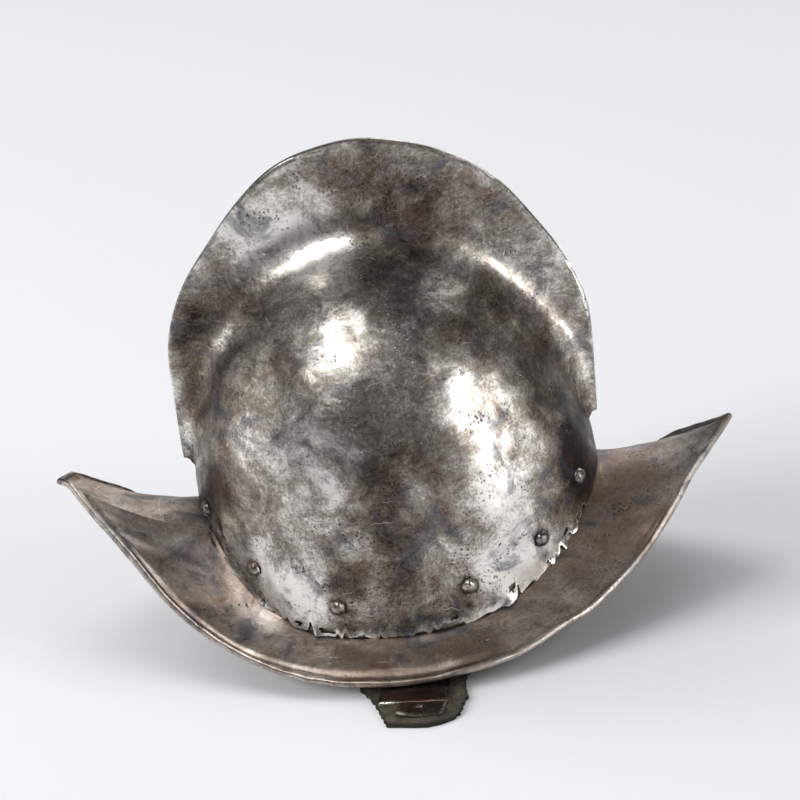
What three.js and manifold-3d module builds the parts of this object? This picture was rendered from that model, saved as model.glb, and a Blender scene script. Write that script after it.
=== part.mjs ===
/*
 * Comb morion: a foot soldier's open helmet of forged steel.
 *
 * A bowl and its tall comb are raised from one sheet. A boat-shaped brim, pointed at front and back,
 * has an upright flange that stands inside the bowl and is riveted to it. Two cheek-pieces of cloth-covered
 * leather with small steel lames hang from the middle rivets, and lie folded outwards on the ground.
 *
 * Frame: +X is the front, +Y the left side, +Z up. The origin is on the ground under the middle.
 * Each piece is lofted through closed loops of points. All lengths are millimetres.
 */
import * as THREE from 'three';
import { mergeVertices } from 'three/addons/utils/BufferGeometryUtils.js';
import Module from 'manifold-3d';

const wasm = await Module();
wasm.setup();

// ---- Driving dimensions ----------------------------------------------------------------------

const GAP = 0.3;                 // clearance between pieces that touch

const BOWL_HALF_LENGTH = 106.7;
const BOWL_HALF_WIDTH = 88;
const BOWL_RISE = 128;           // from the spring of the dome up to the crown, under the comb
const BOWL_LEAN = -5.5;          // the crown stands this far behind the middle
const BOWL_WALL = 1.4;
const BOWL_SPRING_Z = 75;        // the wall is upright below this level and domed above it
const SEAM_FRONT_Z = 73;         // lower edge of the bowl at the front and the back
const SEAM_SIDE_Z = 21.5;        // and at its lowest, at the sides
const SEAM_POWER = 3.3;          // how late the seam climbs towards the ends
const SEAM_SHIFT = 20;           // the seam's low point lies this far behind the middle

const COMB_CENTRE_X = -1.3;
const COMB_CENTRE_Z = 148;
const COMB_RADIUS_X = 107.6;
const COMB_RADIUS_Z = 110;
const COMB_SQUARENESS = 3.4;     // a round comb whose shoulders are this much flatter
const COMB_LEAN = -2.2;
const FRONT_SHOULDER = { turn: 54, spread: 19, rise: 4.7 };   // where the crest is fuller than that arch
const BACK_SHOULDER = { turn: 113, spread: 18, rise: 2.9 };
const COMB_FOOT_HALF_LENGTH = 110;
const COMB_FOOT_Z = 100.5;
const NOTCH_Z = 97.5;            // where the comb's cut ends meet the bowl
const CREST_HALF_THICKNESS = 1.6;
const COMB_ROOT_HALF_THICKNESS = 4.5;
const COMB_TAPER = 45;           // height over which the comb thins from root to crest
const CREST_ROUNDING = 0.8;
const FILLET_AT_CROWN = 25;
const FILLET_AT_NOTCH = 6;
const COMB_HOLLOW_HEIGHT = 18;   // the comb is hollow this far up; above it its two walls touch

const BRIM_HALF_LENGTH = 179;    // to the middle of the rolled edge
const BRIM_HALF_WIDTH = 113;
const BRIM_SHEET = 1.3;
const BRIM_SIDE_Z = 8;           // middle of the rolled edge at its lowest
const BRIM_SWEEP = 83.5;         // how far the rolled edge climbs to the points
const BRIM_SWEEP_POWER = 2.65;
const BRIM_SWEEP_SWELL = 0.085;
const BRIM_SWEEP_SWELL_AT = 0.855;
const BRIM_SWEEP_SWELL_WIDTH = 0.12;
const BRIM_LOW_SHIFT = 14;       // the edge is lowest this far behind the middle
const BRIM_TIP_SHIFT = 21;       // and the front point is this much less swept than the back one
const BRIM_RIDGE_SAG = 5;
const ROLL_RADIUS = 2.2;
const FLANGE_HEIGHT = 24;

const RIVETS = [                 // x and z of each rivet on one side, front to back
  { x: 93.6, z: 79.7 },
  { x: 70.1, z: 57.6 },
  { x: 29.7, z: 44.2 },
  { x: -38.4, z: 39.2 },
  { x: -79.8, z: 56.0 },
  { x: -101.2, z: 79.5 },
];
const CHEEK_RIVETS = [2, 3];     // the two that also hold the cheek-piece
const RIVET_HEAD_RADIUS = 4;
const RIVET_HEAD_HEIGHT = 3.4;
const RIVET_SHANK_RADIUS = 1.8;
const RIVET_TAIL_RADIUS = 3.2;
const RIVET_TAIL_HEIGHT = 1;
const RIVET_SIDES = 8;

const FLAP_THICKNESS = 2.2;
const LAME_THICKNESS = 1.1;

// Cheek-piece rows from its root on the bowl to its free end: how far the row stands out from the wall
// that it is riveted to, its height, the tilt of its outer face in degrees (0 faces out, 90 faces up), and
// the x of its back and front edges.
const FLAP_ROOT_ROWS = [
  { out: 0, z: 53, tilt: 0, back: -47, front: 39 },
  { out: 0, z: 38, tilt: 0, back: -47, front: 39 },
  { out: 0, z: 24, tilt: 0, back: -44, front: 36 },
  { out: 0.4, z: 14, tilt: 12, back: -41, front: 34 },
  { out: 3.6, z: 5.6, tilt: 42, back: -38, front: 32 },
  { out: 10, z: 1.9, tilt: 75, back: -35, front: 30 },
];
// Rows that lie on the ground: distance from the midplane and the two edges.
const FLAP_GROUND_ROWS = [
  { y: 104, back: -31, front: 26 },
  { y: 113, back: -27, front: 22.5 },
  { y: 124, back: -24, front: 22.2 },
  { y: 132, back: -22.2, front: 19.2 },
];
// The last two rows slant and round off: y of each column from the back edge to the front edge.
const FLAP_END_ROWS = [
  { y: [140, 141.5, 143, 142.6, 141.8, 140.4], back: -20.6, front: 17.4 },
  { y: [145.9, 147.8, 149.6, 150.8, 149.4, 145.5], back: -19.4, front: 13.7 },
];
const FLAP_COLUMNS = 6;

// Lames: middle, turn in degrees, half width, then the height and reach of each row.
const UPPER_LAME = {
  x: -3, y: 109, turn: 9, halfWidth: 17.2, bow: 0,
  rows: [[-6, 3.4], [0, 4.2], [6, 4.7], [13, 4.9], [18, 4.75], [20, 4.45]],
};
const LOWER_LAME = {
  x: -0.2, y: 125.5, turn: 13, halfWidth: 12.2, bow: 2.4,
  rows: [[-2, 3.05], [5, 3.15], [11, 3.25], [15.5, 3.1]],
};
const LAME_RIVET = { x: -2.7, y: 134.5, radius: 2, height: 1.3, z: 3.8 };

const STATION_STEPS = 30;
const WALL_STEPS = 2;
const BOWL_STEPS = 8;
const FULL_TURN = 2 * Math.PI;

// ---- Small helpers ---------------------------------------------------------------------------

const point = (x, y, z) => new THREE.Vector3(x, y, z);
const clamp = THREE.MathUtils.clamp;
const lerp = THREE.MathUtils.lerp;
const radians = THREE.MathUtils.degToRad;
const mirrored = (p) => point(p.x, -p.y, p.z);

/** A triangle list with shared vertices merged, flat triangles dropped and its faces pointing out. */
function closedGeometry(points, triangles) {
  const raw = new THREE.BufferGeometry();
  raw.setAttribute('position', new THREE.Float32BufferAttribute(points.flatMap((p) => p.toArray()), 3));
  raw.setIndex(triangles.flat());
  return pointedOut(mergeVertices(raw, 1e-3));
}

function pointedOut(geometry) {
  const position = geometry.attributes.position;
  const index = geometry.index.array;
  const kept = [];
  let volume = 0;
  for (let i = 0; i < index.length; i += 3) {
    const [a, b, c] = [index[i], index[i + 1], index[i + 2]];
    if (a === b || b === c || c === a) continue;
    kept.push([a, b, c]);
    const [p, q, r] = [a, b, c].map((k) => point().fromBufferAttribute(position, k));
    volume += p.dot(q.cross(r)) / 6;
  }
  if (volume < 0) kept.forEach((triangle) => triangle.reverse());
  const result = new THREE.BufferGeometry();
  result.setAttribute('position', position.clone());
  result.setIndex(kept.flat());
  return result;
}

/** A solid through closed loops of equal length. Open ends are closed across each loop like a ladder. */
function loft(loops, { ring = false, caps = false } = {}) {
  const size = loops[0].length;
  const points = loops.flat();
  const triangles = [];
  const last = ring ? loops.length : loops.length - 1;
  for (let i = 0; i < last; i += 1) {
    const next = (i + 1) % loops.length;
    for (let j = 0; j < size; j += 1) {
      const a = i * size + j;
      const b = i * size + ((j + 1) % size);
      const c = next * size + ((j + 1) % size);
      const d = next * size + j;
      triangles.push([a, b, c], [a, c, d]);
    }
  }
  if (caps) {
    for (let j = 0; j < size / 2 - 1; j += 1) {
      const far = size - 1 - j;
      const end = (loops.length - 1) * size;
      triangles.push([j, far, far - 1], [j, far - 1, j + 1]);
      triangles.push([end + j, end + far - 1, end + far], [end + j, end + j + 1, end + far - 1]);
    }
  }
  return closedGeometry(points, triangles);
}

/** The geometry less a set of straight round holes. */
function drilled(geometry, holes) {
  let solid = solidOf(geometry);
  for (const hole of holes) solid = solid.subtract(solidOf(hole));
  const mesh = solid.getMesh();
  const result = new THREE.BufferGeometry();
  const positions = [];
  for (let i = 0; i < mesh.vertProperties.length; i += mesh.numProp) {
    positions.push(...mesh.vertProperties.slice(i, i + 3));
  }
  result.setAttribute('position', new THREE.Float32BufferAttribute(positions, 3));
  result.setIndex(Array.from(mesh.triVerts));
  return pointedOut(result);
}

function solidOf(geometry) {
  return new wasm.Manifold(new wasm.Mesh({
    numProp: 3,
    vertProperties: new Float32Array(geometry.attributes.position.array),
    triVerts: new Uint32Array(geometry.index.array),
  }));
}

// ---- The form of the bowl and its comb -------------------------------------------------------

/** Height of the seam between bowl and brim, at a given x. */
function seamZ(x) {
  const reach = Math.min(Math.abs(x) / BOWL_HALF_LENGTH, 1);
  const shifted = Math.abs(x + SEAM_SHIFT * (1 - reach)) / BOWL_HALF_LENGTH;
  return SEAM_SIDE_Z + (SEAM_FRONT_Z - SEAM_SIDE_Z) * shifted ** SEAM_POWER;
}

/** Distance outside the bowl: an upright oval wall under a half ellipsoid. */
function bowlDistance(p) {
  const rise = Math.max(p.z - BOWL_SPRING_Z, 0);
  const x = p.x - BOWL_LEAN * Math.min(rise / BOWL_RISE, 1);
  const [a, b, c] = [BOWL_HALF_LENGTH, BOWL_HALF_WIDTH, BOWL_RISE];
  const scaled = Math.hypot(x / a, p.y / b, rise / c);
  const slope = Math.hypot(x / a ** 2, p.y / b ** 2, rise / c ** 2);
  return (scaled * (scaled - 1)) / slope;
}

/** Half the comb's thickness at a given distance from the bowl. */
function combHalfThickness(distance) {
  const thinning = clamp(1 - distance / COMB_TAPER, 0, 1) ** 2;
  return lerp(CREST_HALF_THICKNESS, COMB_ROOT_HALF_THICKNESS, thinning);
}

/** Distance outside the whole sheet: bowl and comb run into each other through a hollow fillet. */
function shellDistance(p, combed) {
  const bowl = bowlDistance(p);
  if (!combed) return bowl;
  const comb = Math.abs(p.y) - combHalfThickness(bowlDistance(point(p.x, 0, p.z)));
  const height = clamp((p.z - NOTCH_Z) / (BOWL_SPRING_Z + BOWL_RISE - NOTCH_Z), 0, 1);
  const reach = lerp(FILLET_AT_NOTCH, FILLET_AT_CROWN, Math.sqrt(height));
  const overlap = Math.max(reach - Math.abs(bowl - comb), 0) / reach;
  return Math.min(bowl, comb) - (overlap ** 2 * reach) / 4;
}

/** Moves a point onto the surface that lies at the given distance from the outer face. */
function settled(start, level, combed) {
  const p = start.clone();
  const step = 0.01;
  for (let round = 0; round < 8; round += 1) {
    const value = shellDistance(p, combed);
    const slope = point(
      shellDistance(point(p.x + step, p.y, p.z), combed) - value,
      shellDistance(point(p.x, p.y + step, p.z), combed) - value,
      shellDistance(point(p.x, p.y, p.z + step), combed) - value,
    ).divideScalar(step);
    p.addScaledVector(slope, (level - value) / Math.max(slope.lengthSq(), 0.05));
  }
  return p;
}

const notchAngle = Math.asin((NOTCH_Z - BOWL_SPRING_Z) / BOWL_RISE);
const footAngle = notchAngle + radians(1.2);

/** Angles round the bowl from the front to the back, with a close pair at each end of the comb. */
function stationAngles() {
  const ends = [0, notchAngle / 3, (2 * notchAngle) / 3, notchAngle];
  const middle = [];
  for (let i = 0; i <= STATION_STEPS; i += 1) {
    middle.push(lerp(footAngle, Math.PI - footAngle, i / STATION_STEPS));
  }
  return [...ends, ...middle, ...ends.map((angle) => Math.PI - angle).reverse()];
}
const stations = stationAngles();

/** The bowl's outline in the midplane, under the comb. */
function crownPoint(angle) {
  const x = BOWL_HALF_LENGTH * Math.cos(angle) + BOWL_LEAN * Math.sin(angle);
  return point(x, 0, BOWL_SPRING_Z + BOWL_RISE * Math.sin(angle));
}

/** How much further out the crest stands near one of its shoulders. */
function fullness({ turn, spread, rise }, here) {
  return rise * Math.exp(-(((here - radians(turn)) / radians(spread)) ** 2));
}

/** The comb's outline in the midplane: two nearly upright ends and a squarish arch between them. */
function crestPoint(angle) {
  const end = COMB_CENTRE_Z - COMB_FOOT_Z;
  const arch = Math.PI * COMB_RADIUS_Z;
  const along = clamp((angle - footAngle) / (Math.PI - 2 * footAngle), 0, 1) * (arch + 2 * end);
  const halfLength = COMB_RADIUS_X + COMB_SQUARENESS;
  if (along > end && along < end + arch) {
    const turn = (along - end) / COMB_RADIUS_Z;
    const shoulders = fullness(FRONT_SHOULDER, turn) + fullness(BACK_SHOULDER, turn);
    const bulge = COMB_SQUARENESS * Math.cos(4 * turn) + shoulders;
    const x = COMB_CENTRE_X + COMB_LEAN * Math.sin(turn) + (COMB_RADIUS_X + bulge) * Math.cos(turn);
    return point(x, 0, COMB_CENTRE_Z + (COMB_RADIUS_Z + bulge) * Math.sin(turn));
  }
  const front = along <= end;
  const drop = front ? 1 - along / end : (along - end - arch) / end;
  const halfHere = lerp(halfLength, COMB_FOOT_HALF_LENGTH, drop ** 2);
  return point(COMB_CENTRE_X + (front ? halfHere : -halfHere), 0, COMB_CENTRE_Z - end * drop);
}

/** One side of the sheet at one station, from the seam up to the midplane, as a list of points. */
function skullSide(angle, level, combFractions, closing) {
  const combed = angle > notchAngle + 1e-6 && angle < Math.PI - notchAngle - 1e-6;
  const [a, b] = [BOWL_HALF_LENGTH + level, BOWL_HALF_WIDTH + level];
  const x = a * Math.cos(angle);
  const y = -b * Math.sin(angle);
  const rim = seamZ(BOWL_HALF_LENGTH * Math.cos(angle));
  const side = [];
  for (let i = 0; i < WALL_STEPS; i += 1) side.push(point(x, y, lerp(rim, BOWL_SPRING_Z, i / WALL_STEPS)));
  const stop = combed ? Math.acos(Math.min(0.95, 10 / (b * Math.sin(angle)))) : Math.PI / 2;
  for (let i = 0; i <= BOWL_STEPS; i += 1) {
    const up = (stop * i) / BOWL_STEPS;
    const lean = BOWL_LEAN * Math.sin(angle) * Math.sin(up);
    const rise = (BOWL_RISE + level) * Math.sin(angle) * Math.sin(up);
    const guess = point(x + lean, y * Math.cos(up), BOWL_SPRING_Z + rise);
    const fixed = i === 0 || Math.abs(guess.y) < 1e-6;
    side.push(fixed ? guess : settled(guess, level, combed));
  }
  const crown = crownPoint(angle);
  const crest = crestPoint(angle);
  const inner = side[side.length - 1];
  for (const fraction of combFractions(crown.distanceTo(crest))) {
    if (!combed) {
      side.push(inner.clone().setY(0));
      continue;
    }
    const guess = crown.clone().lerp(crest, fraction).setY(-CREST_HALF_THICKNESS - level);
    const fitted = settled(guess.setY(Math.min(guess.y, -0.8)), level, true);
    side.push(fraction === 1 ? guess.setY(-CREST_HALF_THICKNESS) : fitted);
  }
  const top = side[side.length - 1];
  const outward = crest.clone().sub(crown).normalize();
  side.push(combed ? top.clone().setY(0).addScaledVector(outward, closing) : top.clone());
  return side;
}

/** A closed loop round the sheet at one station: over the outside and back through the inside. */
function skullLoop(angle) {
  const outer = skullSide(angle, 0, () => [0.12, 0.3, 0.6, 1], CREST_ROUNDING);
  const hollow = (height) => Math.min(COMB_HOLLOW_HEIGHT / height, 0.55);
  const inner = skullSide(angle, -BOWL_WALL, (height) => [0.5 * hollow(height), hollow(height)], 0);
  const across = (side) => [...side, ...side.slice(0, -1).reverse().map(mirrored)];
  return [...across(outer), ...across(inner).reverse()];
}

function makeSkull(holes) {
  return drilled(loft(stations.map(skullLoop)), holes);
}

// ---- The brim --------------------------------------------------------------------------------

/** Middle of the rolled edge, seen from above as a pointed boat and from the side as a crescent. */
function brimEdge(angle) {
  const x = BRIM_HALF_LENGTH * Math.cos(angle);
  const reach = Math.abs(Math.cos(angle));
  const y = -BRIM_HALF_WIDTH * Math.max(1 - reach ** 2, 0);
  const shifted = Math.abs(x + BRIM_LOW_SHIFT - BRIM_TIP_SHIFT * reach ** 1.3) / BRIM_HALF_LENGTH;
  const along = Math.min(shifted, 1);
  const swell = Math.exp(-(((along - BRIM_SWEEP_SWELL_AT) / BRIM_SWEEP_SWELL_WIDTH) ** 2));
  const sweep = along ** BRIM_SWEEP_POWER + BRIM_SWEEP_SWELL * swell;
  return point(x, y, BRIM_SIDE_Z + BRIM_SWEEP * sweep);
}

/** A point on the bowl's wall at a station, moved in by a depth and raised to a height. */
function wallPoint(angle, depth, z) {
  const start = point(
    (BOWL_HALF_LENGTH - depth) * Math.cos(angle),
    -(BOWL_HALF_WIDTH - depth) * Math.sin(angle),
    z,
  );
  if (z <= BOWL_SPRING_Z) return start;
  return settled(start, -depth, false);
}

const flangeOuter = BOWL_WALL + GAP;
const flangeInner = flangeOuter + BRIM_SHEET;

/** The brim's closed section at one station of the near side. */
function brimLoop(angle) {
  const seam = seamZ(BOWL_HALF_LENGTH * Math.cos(angle));
  const shelf = seam - 1.5 * GAP;
  const top = seam + FLANGE_HEIGHT;
  const inner = wallPoint(angle, flangeOuter, shelf);
  const edge = brimEdge(angle);
  const out = point(edge.x - inner.x, edge.y - inner.y, 0);
  const width = out.length();
  out.normalize();
  const start = inner.clone().addScaledVector(out, 2.5);
  const sheetTop = (u) => {
    const sag = BRIM_RIDGE_SAG * Math.cos(angle) ** 2 * 4 * u * (1 - u);
    const reach = width - 2.5 - 0.9 * ROLL_RADIUS;
    return start.clone().addScaledVector(out, reach * u).setZ(lerp(shelf, edge.z - 0.4, u) - sag);
  };
  const under = (p) => p.clone().setZ(p.z - 1.15 * BRIM_SHEET);
  const steps = [0, 0.3, 0.6, 0.85, 1];
  const face = steps.map(sheetTop);
  const roll = [140, 90, 40, -10, -60, -110].map((degrees) => {
    const turn = radians(degrees);
    const p = edge.clone().addScaledVector(out, ROLL_RADIUS * Math.cos(turn));
    return p.setZ(edge.z + ROLL_RADIUS * Math.sin(turn));
  });
  const back = steps.slice(0, -1).reverse().map((u) => under(sheetTop(u)));
  return [
    wallPoint(angle, flangeOuter, top),
    wallPoint(angle, flangeOuter, lerp(shelf, top, 0.5)),
    inner, ...face, ...roll, ...back,
    wallPoint(angle, flangeInner, shelf + 0.5),
    wallPoint(angle, flangeInner, lerp(shelf, top, 0.5)),
    wallPoint(angle, flangeInner, top),
  ];
}

function makeBrim(holes) {
  const near = stations.map(brimLoop);
  const far = near.slice(1, -1).reverse().map((loop) => loop.map(mirrored));
  return drilled(loft([...near, ...far], { ring: true }), holes);
}

// ---- Rivets ----------------------------------------------------------------------------------

/** Where a rivet's head sits on the near side of the bowl, and the way that it points. */
function rivetSeat({ x, z }) {
  const angle = Math.acos(clamp(x / BOWL_HALF_LENGTH, -1, 1));
  const seat = settled(point(x, -BOWL_HALF_WIDTH * Math.sin(angle), z), 0, false);
  const step = 0.01;
  const outward = point(
    bowlDistance(point(seat.x + step, seat.y, seat.z)) - bowlDistance(seat),
    bowlDistance(point(seat.x, seat.y + step, seat.z)) - bowlDistance(seat),
    bowlDistance(point(seat.x, seat.y, seat.z + step)) - bowlDistance(seat),
  ).normalize();
  return { seat, outward };
}

/** A domed head, a shank through the sheets and a hammered tail inside them. Its axis is +Y. */
function rivetGeometry(grip) {
  const seat = 1.5 * GAP;
  const profile = [[0, seat + RIVET_HEAD_HEIGHT]];
  for (const degrees of [60, 25, 0]) {
    const turn = radians(degrees);
    profile.push([RIVET_HEAD_RADIUS * Math.cos(turn), seat + RIVET_HEAD_HEIGHT * Math.sin(turn)]);
  }
  profile.push([RIVET_SHANK_RADIUS, seat], [RIVET_SHANK_RADIUS, -grip], [RIVET_TAIL_RADIUS, -grip]);
  profile.push([0.7 * RIVET_TAIL_RADIUS, -grip - RIVET_TAIL_HEIGHT], [0, -grip - RIVET_TAIL_HEIGHT]);
  const outline = profile.map(([x, y]) => new THREE.Vector2(x, y));
  return plain(new THREE.LatheGeometry(outline, RIVET_SIDES));
}

/** A copy with only its positions, merged and pointing out. */
function plain(geometry) {
  const bare = geometry.clone();
  bare.deleteAttribute('normal');
  bare.deleteAttribute('uv');
  return pointedOut(mergeVertices(bare, 1e-3));
}

function holeAt({ seat, outward }) {
  const cutter = new THREE.CylinderGeometry(1, 1, 30, RIVET_SIDES);
  const radius = (RIVET_SHANK_RADIUS + GAP) / Math.cos(Math.PI / RIVET_SIDES);
  cutter.scale(radius, 1, radius);
  cutter.applyQuaternion(new THREE.Quaternion().setFromUnitVectors(point(0, 1, 0), outward));
  cutter.translate(seat.x, seat.y, seat.z);
  return plain(cutter);
}

// ---- Cheek-pieces ----------------------------------------------------------------------------

/** The cloth-covered leather flap of one side: flat on the ground, bent up and riveted inside the bowl. */
function makeFlap(holes) {
  const depth = flangeInner + GAP + FLAP_THICKNESS / 2;
  const columns = Array.from({ length: FLAP_COLUMNS }, (_, i) => i / (FLAP_COLUMNS - 1));
  const wallY = (x) => -(BOWL_HALF_WIDTH - depth) * Math.sqrt(1 - (x / (BOWL_HALF_LENGTH - depth)) ** 2);
  const rows = [];
  for (const row of FLAP_ROOT_ROWS) {
    rows.push(columns.map((t) => {
      const x = lerp(row.back, row.front, t);
      return { middle: point(x, wallY(x) - row.out, row.z), tilt: row.tilt };
    }));
  }
  for (const row of [...FLAP_GROUND_ROWS, ...FLAP_END_ROWS]) {
    rows.push(columns.map((t, i) => {
      const y = Array.isArray(row.y) ? row.y[i] : row.y;
      return { middle: point(lerp(row.back, row.front, t), -y, FLAP_THICKNESS / 2), tilt: 90 };
    }));
  }
  const face = (side) => ({ middle, tilt }) => {
    const turn = radians(tilt);
    const facing = point(0, -Math.cos(turn), Math.sin(turn));
    const x = (BOWL_HALF_WIDTH / BOWL_HALF_LENGTH) ** 2 * (middle.x / -middle.y) * Math.cos(turn);
    facing.x = x;
    return middle.clone().addScaledVector(facing.normalize(), (side * FLAP_THICKNESS) / 2);
  };
  const loops = rows.map((row) => [...row.map(face(1)), ...row.map(face(-1)).reverse()]);
  return drilled(loft(loops, { caps: true }), holes);
}

/** A small steel plate, slightly arched along its length; its free edge may bow outwards. */
function makeLame({ x, y, turn, halfWidth, bow, rows }) {
  const across = [-1, -0.5, 0, 0.5, 1];
  const loops = rows.map(([reach, z], i) => {
    const bowed = i === rows.length - 1 ? bow : 0;
    const row = (height) => across.map((t) => {
      return point(t * halfWidth, -(reach + bowed * (1 - t * t)), height);
    });
    return [...row(z + LAME_THICKNESS / 2), ...row(z - LAME_THICKNESS / 2).reverse()];
  });
  const geometry = loft(loops, { caps: true });
  geometry.rotateZ(-radians(turn));
  geometry.translate(x, -y, 0);
  return geometry;
}

/** The small flattened rivet head on the lower lame. */
function makeLameRivet({ x, y, radius, height, z }) {
  const outline = [[0, height], [0.7 * radius, 0.75 * height], [radius, 0.2 * height], [radius, 0], [0, 0]];
  const profile = outline.map(([r, h]) => new THREE.Vector2(r, h));
  const geometry = plain(new THREE.LatheGeometry(profile, RIVET_SIDES));
  geometry.rotateX(Math.PI / 2);
  geometry.translate(x, -y, z + GAP);
  return geometry;
}

// ---- Materials -------------------------------------------------------------------------------

const material = (color, roughness, metalness) => {
  return new THREE.MeshStandardMaterial({ color, roughness, metalness });
};
const paint = {
  skull: () => material(0x8d8781, 0.38, 1),
  brim: () => material(0x6a625b, 0.42, 1),
  rivet: () => material(0xa39c90, 0.3, 1),
  flap: () => material(0x3c4032, 0.9, 0),
  lame: () => material(0x4a3f38, 0.4, 1),
};

// ---- Assembly --------------------------------------------------------------------------------

const morion = new THREE.Group();

function add(name, geometry, finish, parent = morion) {
  const mesh = new THREE.Mesh(geometry, finish);
  mesh.name = name;
  parent.add(mesh);
  return mesh;
}

/** The same shape on the other side of the midplane. */
function mirroredGeometry(geometry) {
  const copy = geometry.clone();
  copy.scale(1, -1, 1);
  return pointedOut(copy);
}

const rightSeats = RIVETS.map(rivetSeat);
const leftSeats = rightSeats.map(({ seat, outward }) => {
  return { seat: mirrored(seat), outward: mirrored(outward) };
});
const allHoles = [...rightSeats, ...leftSeats].map(holeAt);
add('skull', makeSkull(allHoles), paint.skull());
add('brim', makeBrim(allHoles), paint.brim());

const flap = makeFlap(CHEEK_RIVETS.map((i) => holeAt(rightSeats[i])));
const flapGrip = GAP + FLAP_THICKNESS;
for (const [side, seats] of [['right', rightSeats], ['left', leftSeats]]) {
  const own = side === 'right' ? (geometry) => geometry : mirroredGeometry;
  add(`cheek_flap_${side}`, own(flap), paint.flap());
  add(`upper_lame_${side}`, own(makeLame(UPPER_LAME)), paint.lame());
  add(`lower_lame_${side}`, own(makeLame(LOWER_LAME)), paint.lame());
  add(`lame_rivet_${side}`, own(makeLameRivet(LAME_RIVET)), paint.rivet());
  seats.forEach(({ seat, outward }, i) => {
    const grip = flangeInner + 2 * GAP + (CHEEK_RIVETS.includes(i) ? flapGrip : 0);
    const rivet = add(`rivet_${side}_${i + 1}`, rivetGeometry(grip), paint.rivet());
    rivet.quaternion.setFromUnitVectors(point(0, 1, 0), outward);
    rivet.position.copy(seat);
  });
}

export default morion;
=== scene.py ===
import math
from functools import partial

import bpy
import numpy as np
from bpy.props import FloatProperty, FloatVectorProperty, IntProperty, PointerProperty
from mathutils import Matrix, Vector


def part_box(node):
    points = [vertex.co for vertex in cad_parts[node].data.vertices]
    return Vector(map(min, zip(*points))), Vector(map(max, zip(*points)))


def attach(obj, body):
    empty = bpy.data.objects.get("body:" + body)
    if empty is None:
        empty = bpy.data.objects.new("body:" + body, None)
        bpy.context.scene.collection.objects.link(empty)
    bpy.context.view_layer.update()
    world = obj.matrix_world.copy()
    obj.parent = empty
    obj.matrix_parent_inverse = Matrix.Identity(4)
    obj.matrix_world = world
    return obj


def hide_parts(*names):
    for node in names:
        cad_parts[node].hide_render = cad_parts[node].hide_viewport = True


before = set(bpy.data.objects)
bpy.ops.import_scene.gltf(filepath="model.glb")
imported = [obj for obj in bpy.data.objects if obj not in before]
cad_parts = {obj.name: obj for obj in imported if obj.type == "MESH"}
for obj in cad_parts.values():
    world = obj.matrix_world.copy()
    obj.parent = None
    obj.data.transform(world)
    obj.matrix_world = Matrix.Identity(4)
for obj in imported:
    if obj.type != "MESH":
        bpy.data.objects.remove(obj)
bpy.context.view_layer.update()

bl_info = {
    "name": "Comb Morion",
    "version": (1, 0, 0),
    "blender": (4, 5, 0),
    "location": "3D View > Sidebar > Morion",
    "description": "Builds a worn comb morion with a riveted brim and folded-out cheek-pieces",
    "category": "Object",
}

# Everything is in metres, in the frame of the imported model: +X is the front, +Y the left, +Z up.
MM = 0.001

# ---- The form of the bowl and comb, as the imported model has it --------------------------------

BOWL_A = 0.1067                  # half length, half width and rise of the bowl
BOWL_B = 0.088
BOWL_RISE = 0.128
BOWL_LEAN = -0.0055
WALL = 0.0014
SPRING_Z = 0.075
SEAM_FRONT_Z = 0.073
SEAM_SIDE_Z = 0.0215
SEAM_POWER = 3.3
SEAM_SHIFT = 0.020
COMB_CENTRE = (-0.0013, 0.148)
COMB_RADII = (0.1076, 0.1095)
COMB_SQUARENESS = 0.0034
COMB_LEAN = -0.0022
# Where the crest is fuller than a plain arch: turn and spread in degrees, and the rise.
COMB_SHOULDERS = [(54, 19, 0.0047), (113, 18, 0.0029)]
COMB_FOOT_HALF_LENGTH = 0.110
COMB_FOOT_Z = 0.1005
NOTCH_Z = 0.0975
CREST_HALF = 0.0016
COMB_ROOT_HALF = 0.0045
COMB_TAPER = 0.045
FILLET_CROWN = 0.025
FILLET_NOTCH = 0.006
COMB_HOLLOW = 0.018
NOTCH_ROWS = 9                   # rows of points under each notch
NOTCH_ANGLE = math.asin((NOTCH_Z - SPRING_Z) / BOWL_RISE)
FOOT_ANGLE = NOTCH_ANGLE + math.radians(1.2)

BRIM_HALF_LENGTH = 0.179
BRIM_HALF_WIDTH = 0.113
BRIM_SHEET = 0.0013
ROLL_RADIUS = 0.0019
FLANGE_HEIGHT = 0.024
GAP = 0.0003


# ---- Numbers and meshes -----------------------------------------------------------------------

def linear(colour):
    """An sRGB hex colour as linear red, green, blue and alpha."""
    parts = [int(colour[k:k + 2], 16) / 255 for k in (1, 3, 5)]
    return tuple([p / 12.92 if p <= 0.04045 else ((p + 0.055) / 1.055) ** 2.4 for p in parts] + [1.0])


def mix(a, b, t):
    """Between a and b, by the share t."""
    return a + (b - a) * t


def smooth(value, low, high):
    """0 below low, 1 above high, and a soft step between them."""
    t = np.clip((value - low) / (high - low), 0, 1)
    return t * t * (3 - 2 * t)


def ripple(points, wavelength, seed, waves=18):
    """A smooth irregular field of about unit size: a fixed sum of plane waves."""
    rng = np.random.default_rng(seed)
    total = np.zeros(points.shape[:-1])
    for _ in range(waves):
        direction = rng.normal(size=3)
        direction *= 2 * math.pi * rng.uniform(0.6, 1.5) / wavelength / np.linalg.norm(direction)
        total += np.sin(points @ direction + rng.uniform(0, 2 * math.pi))
    return total / math.sqrt(waves / 2)


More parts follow.
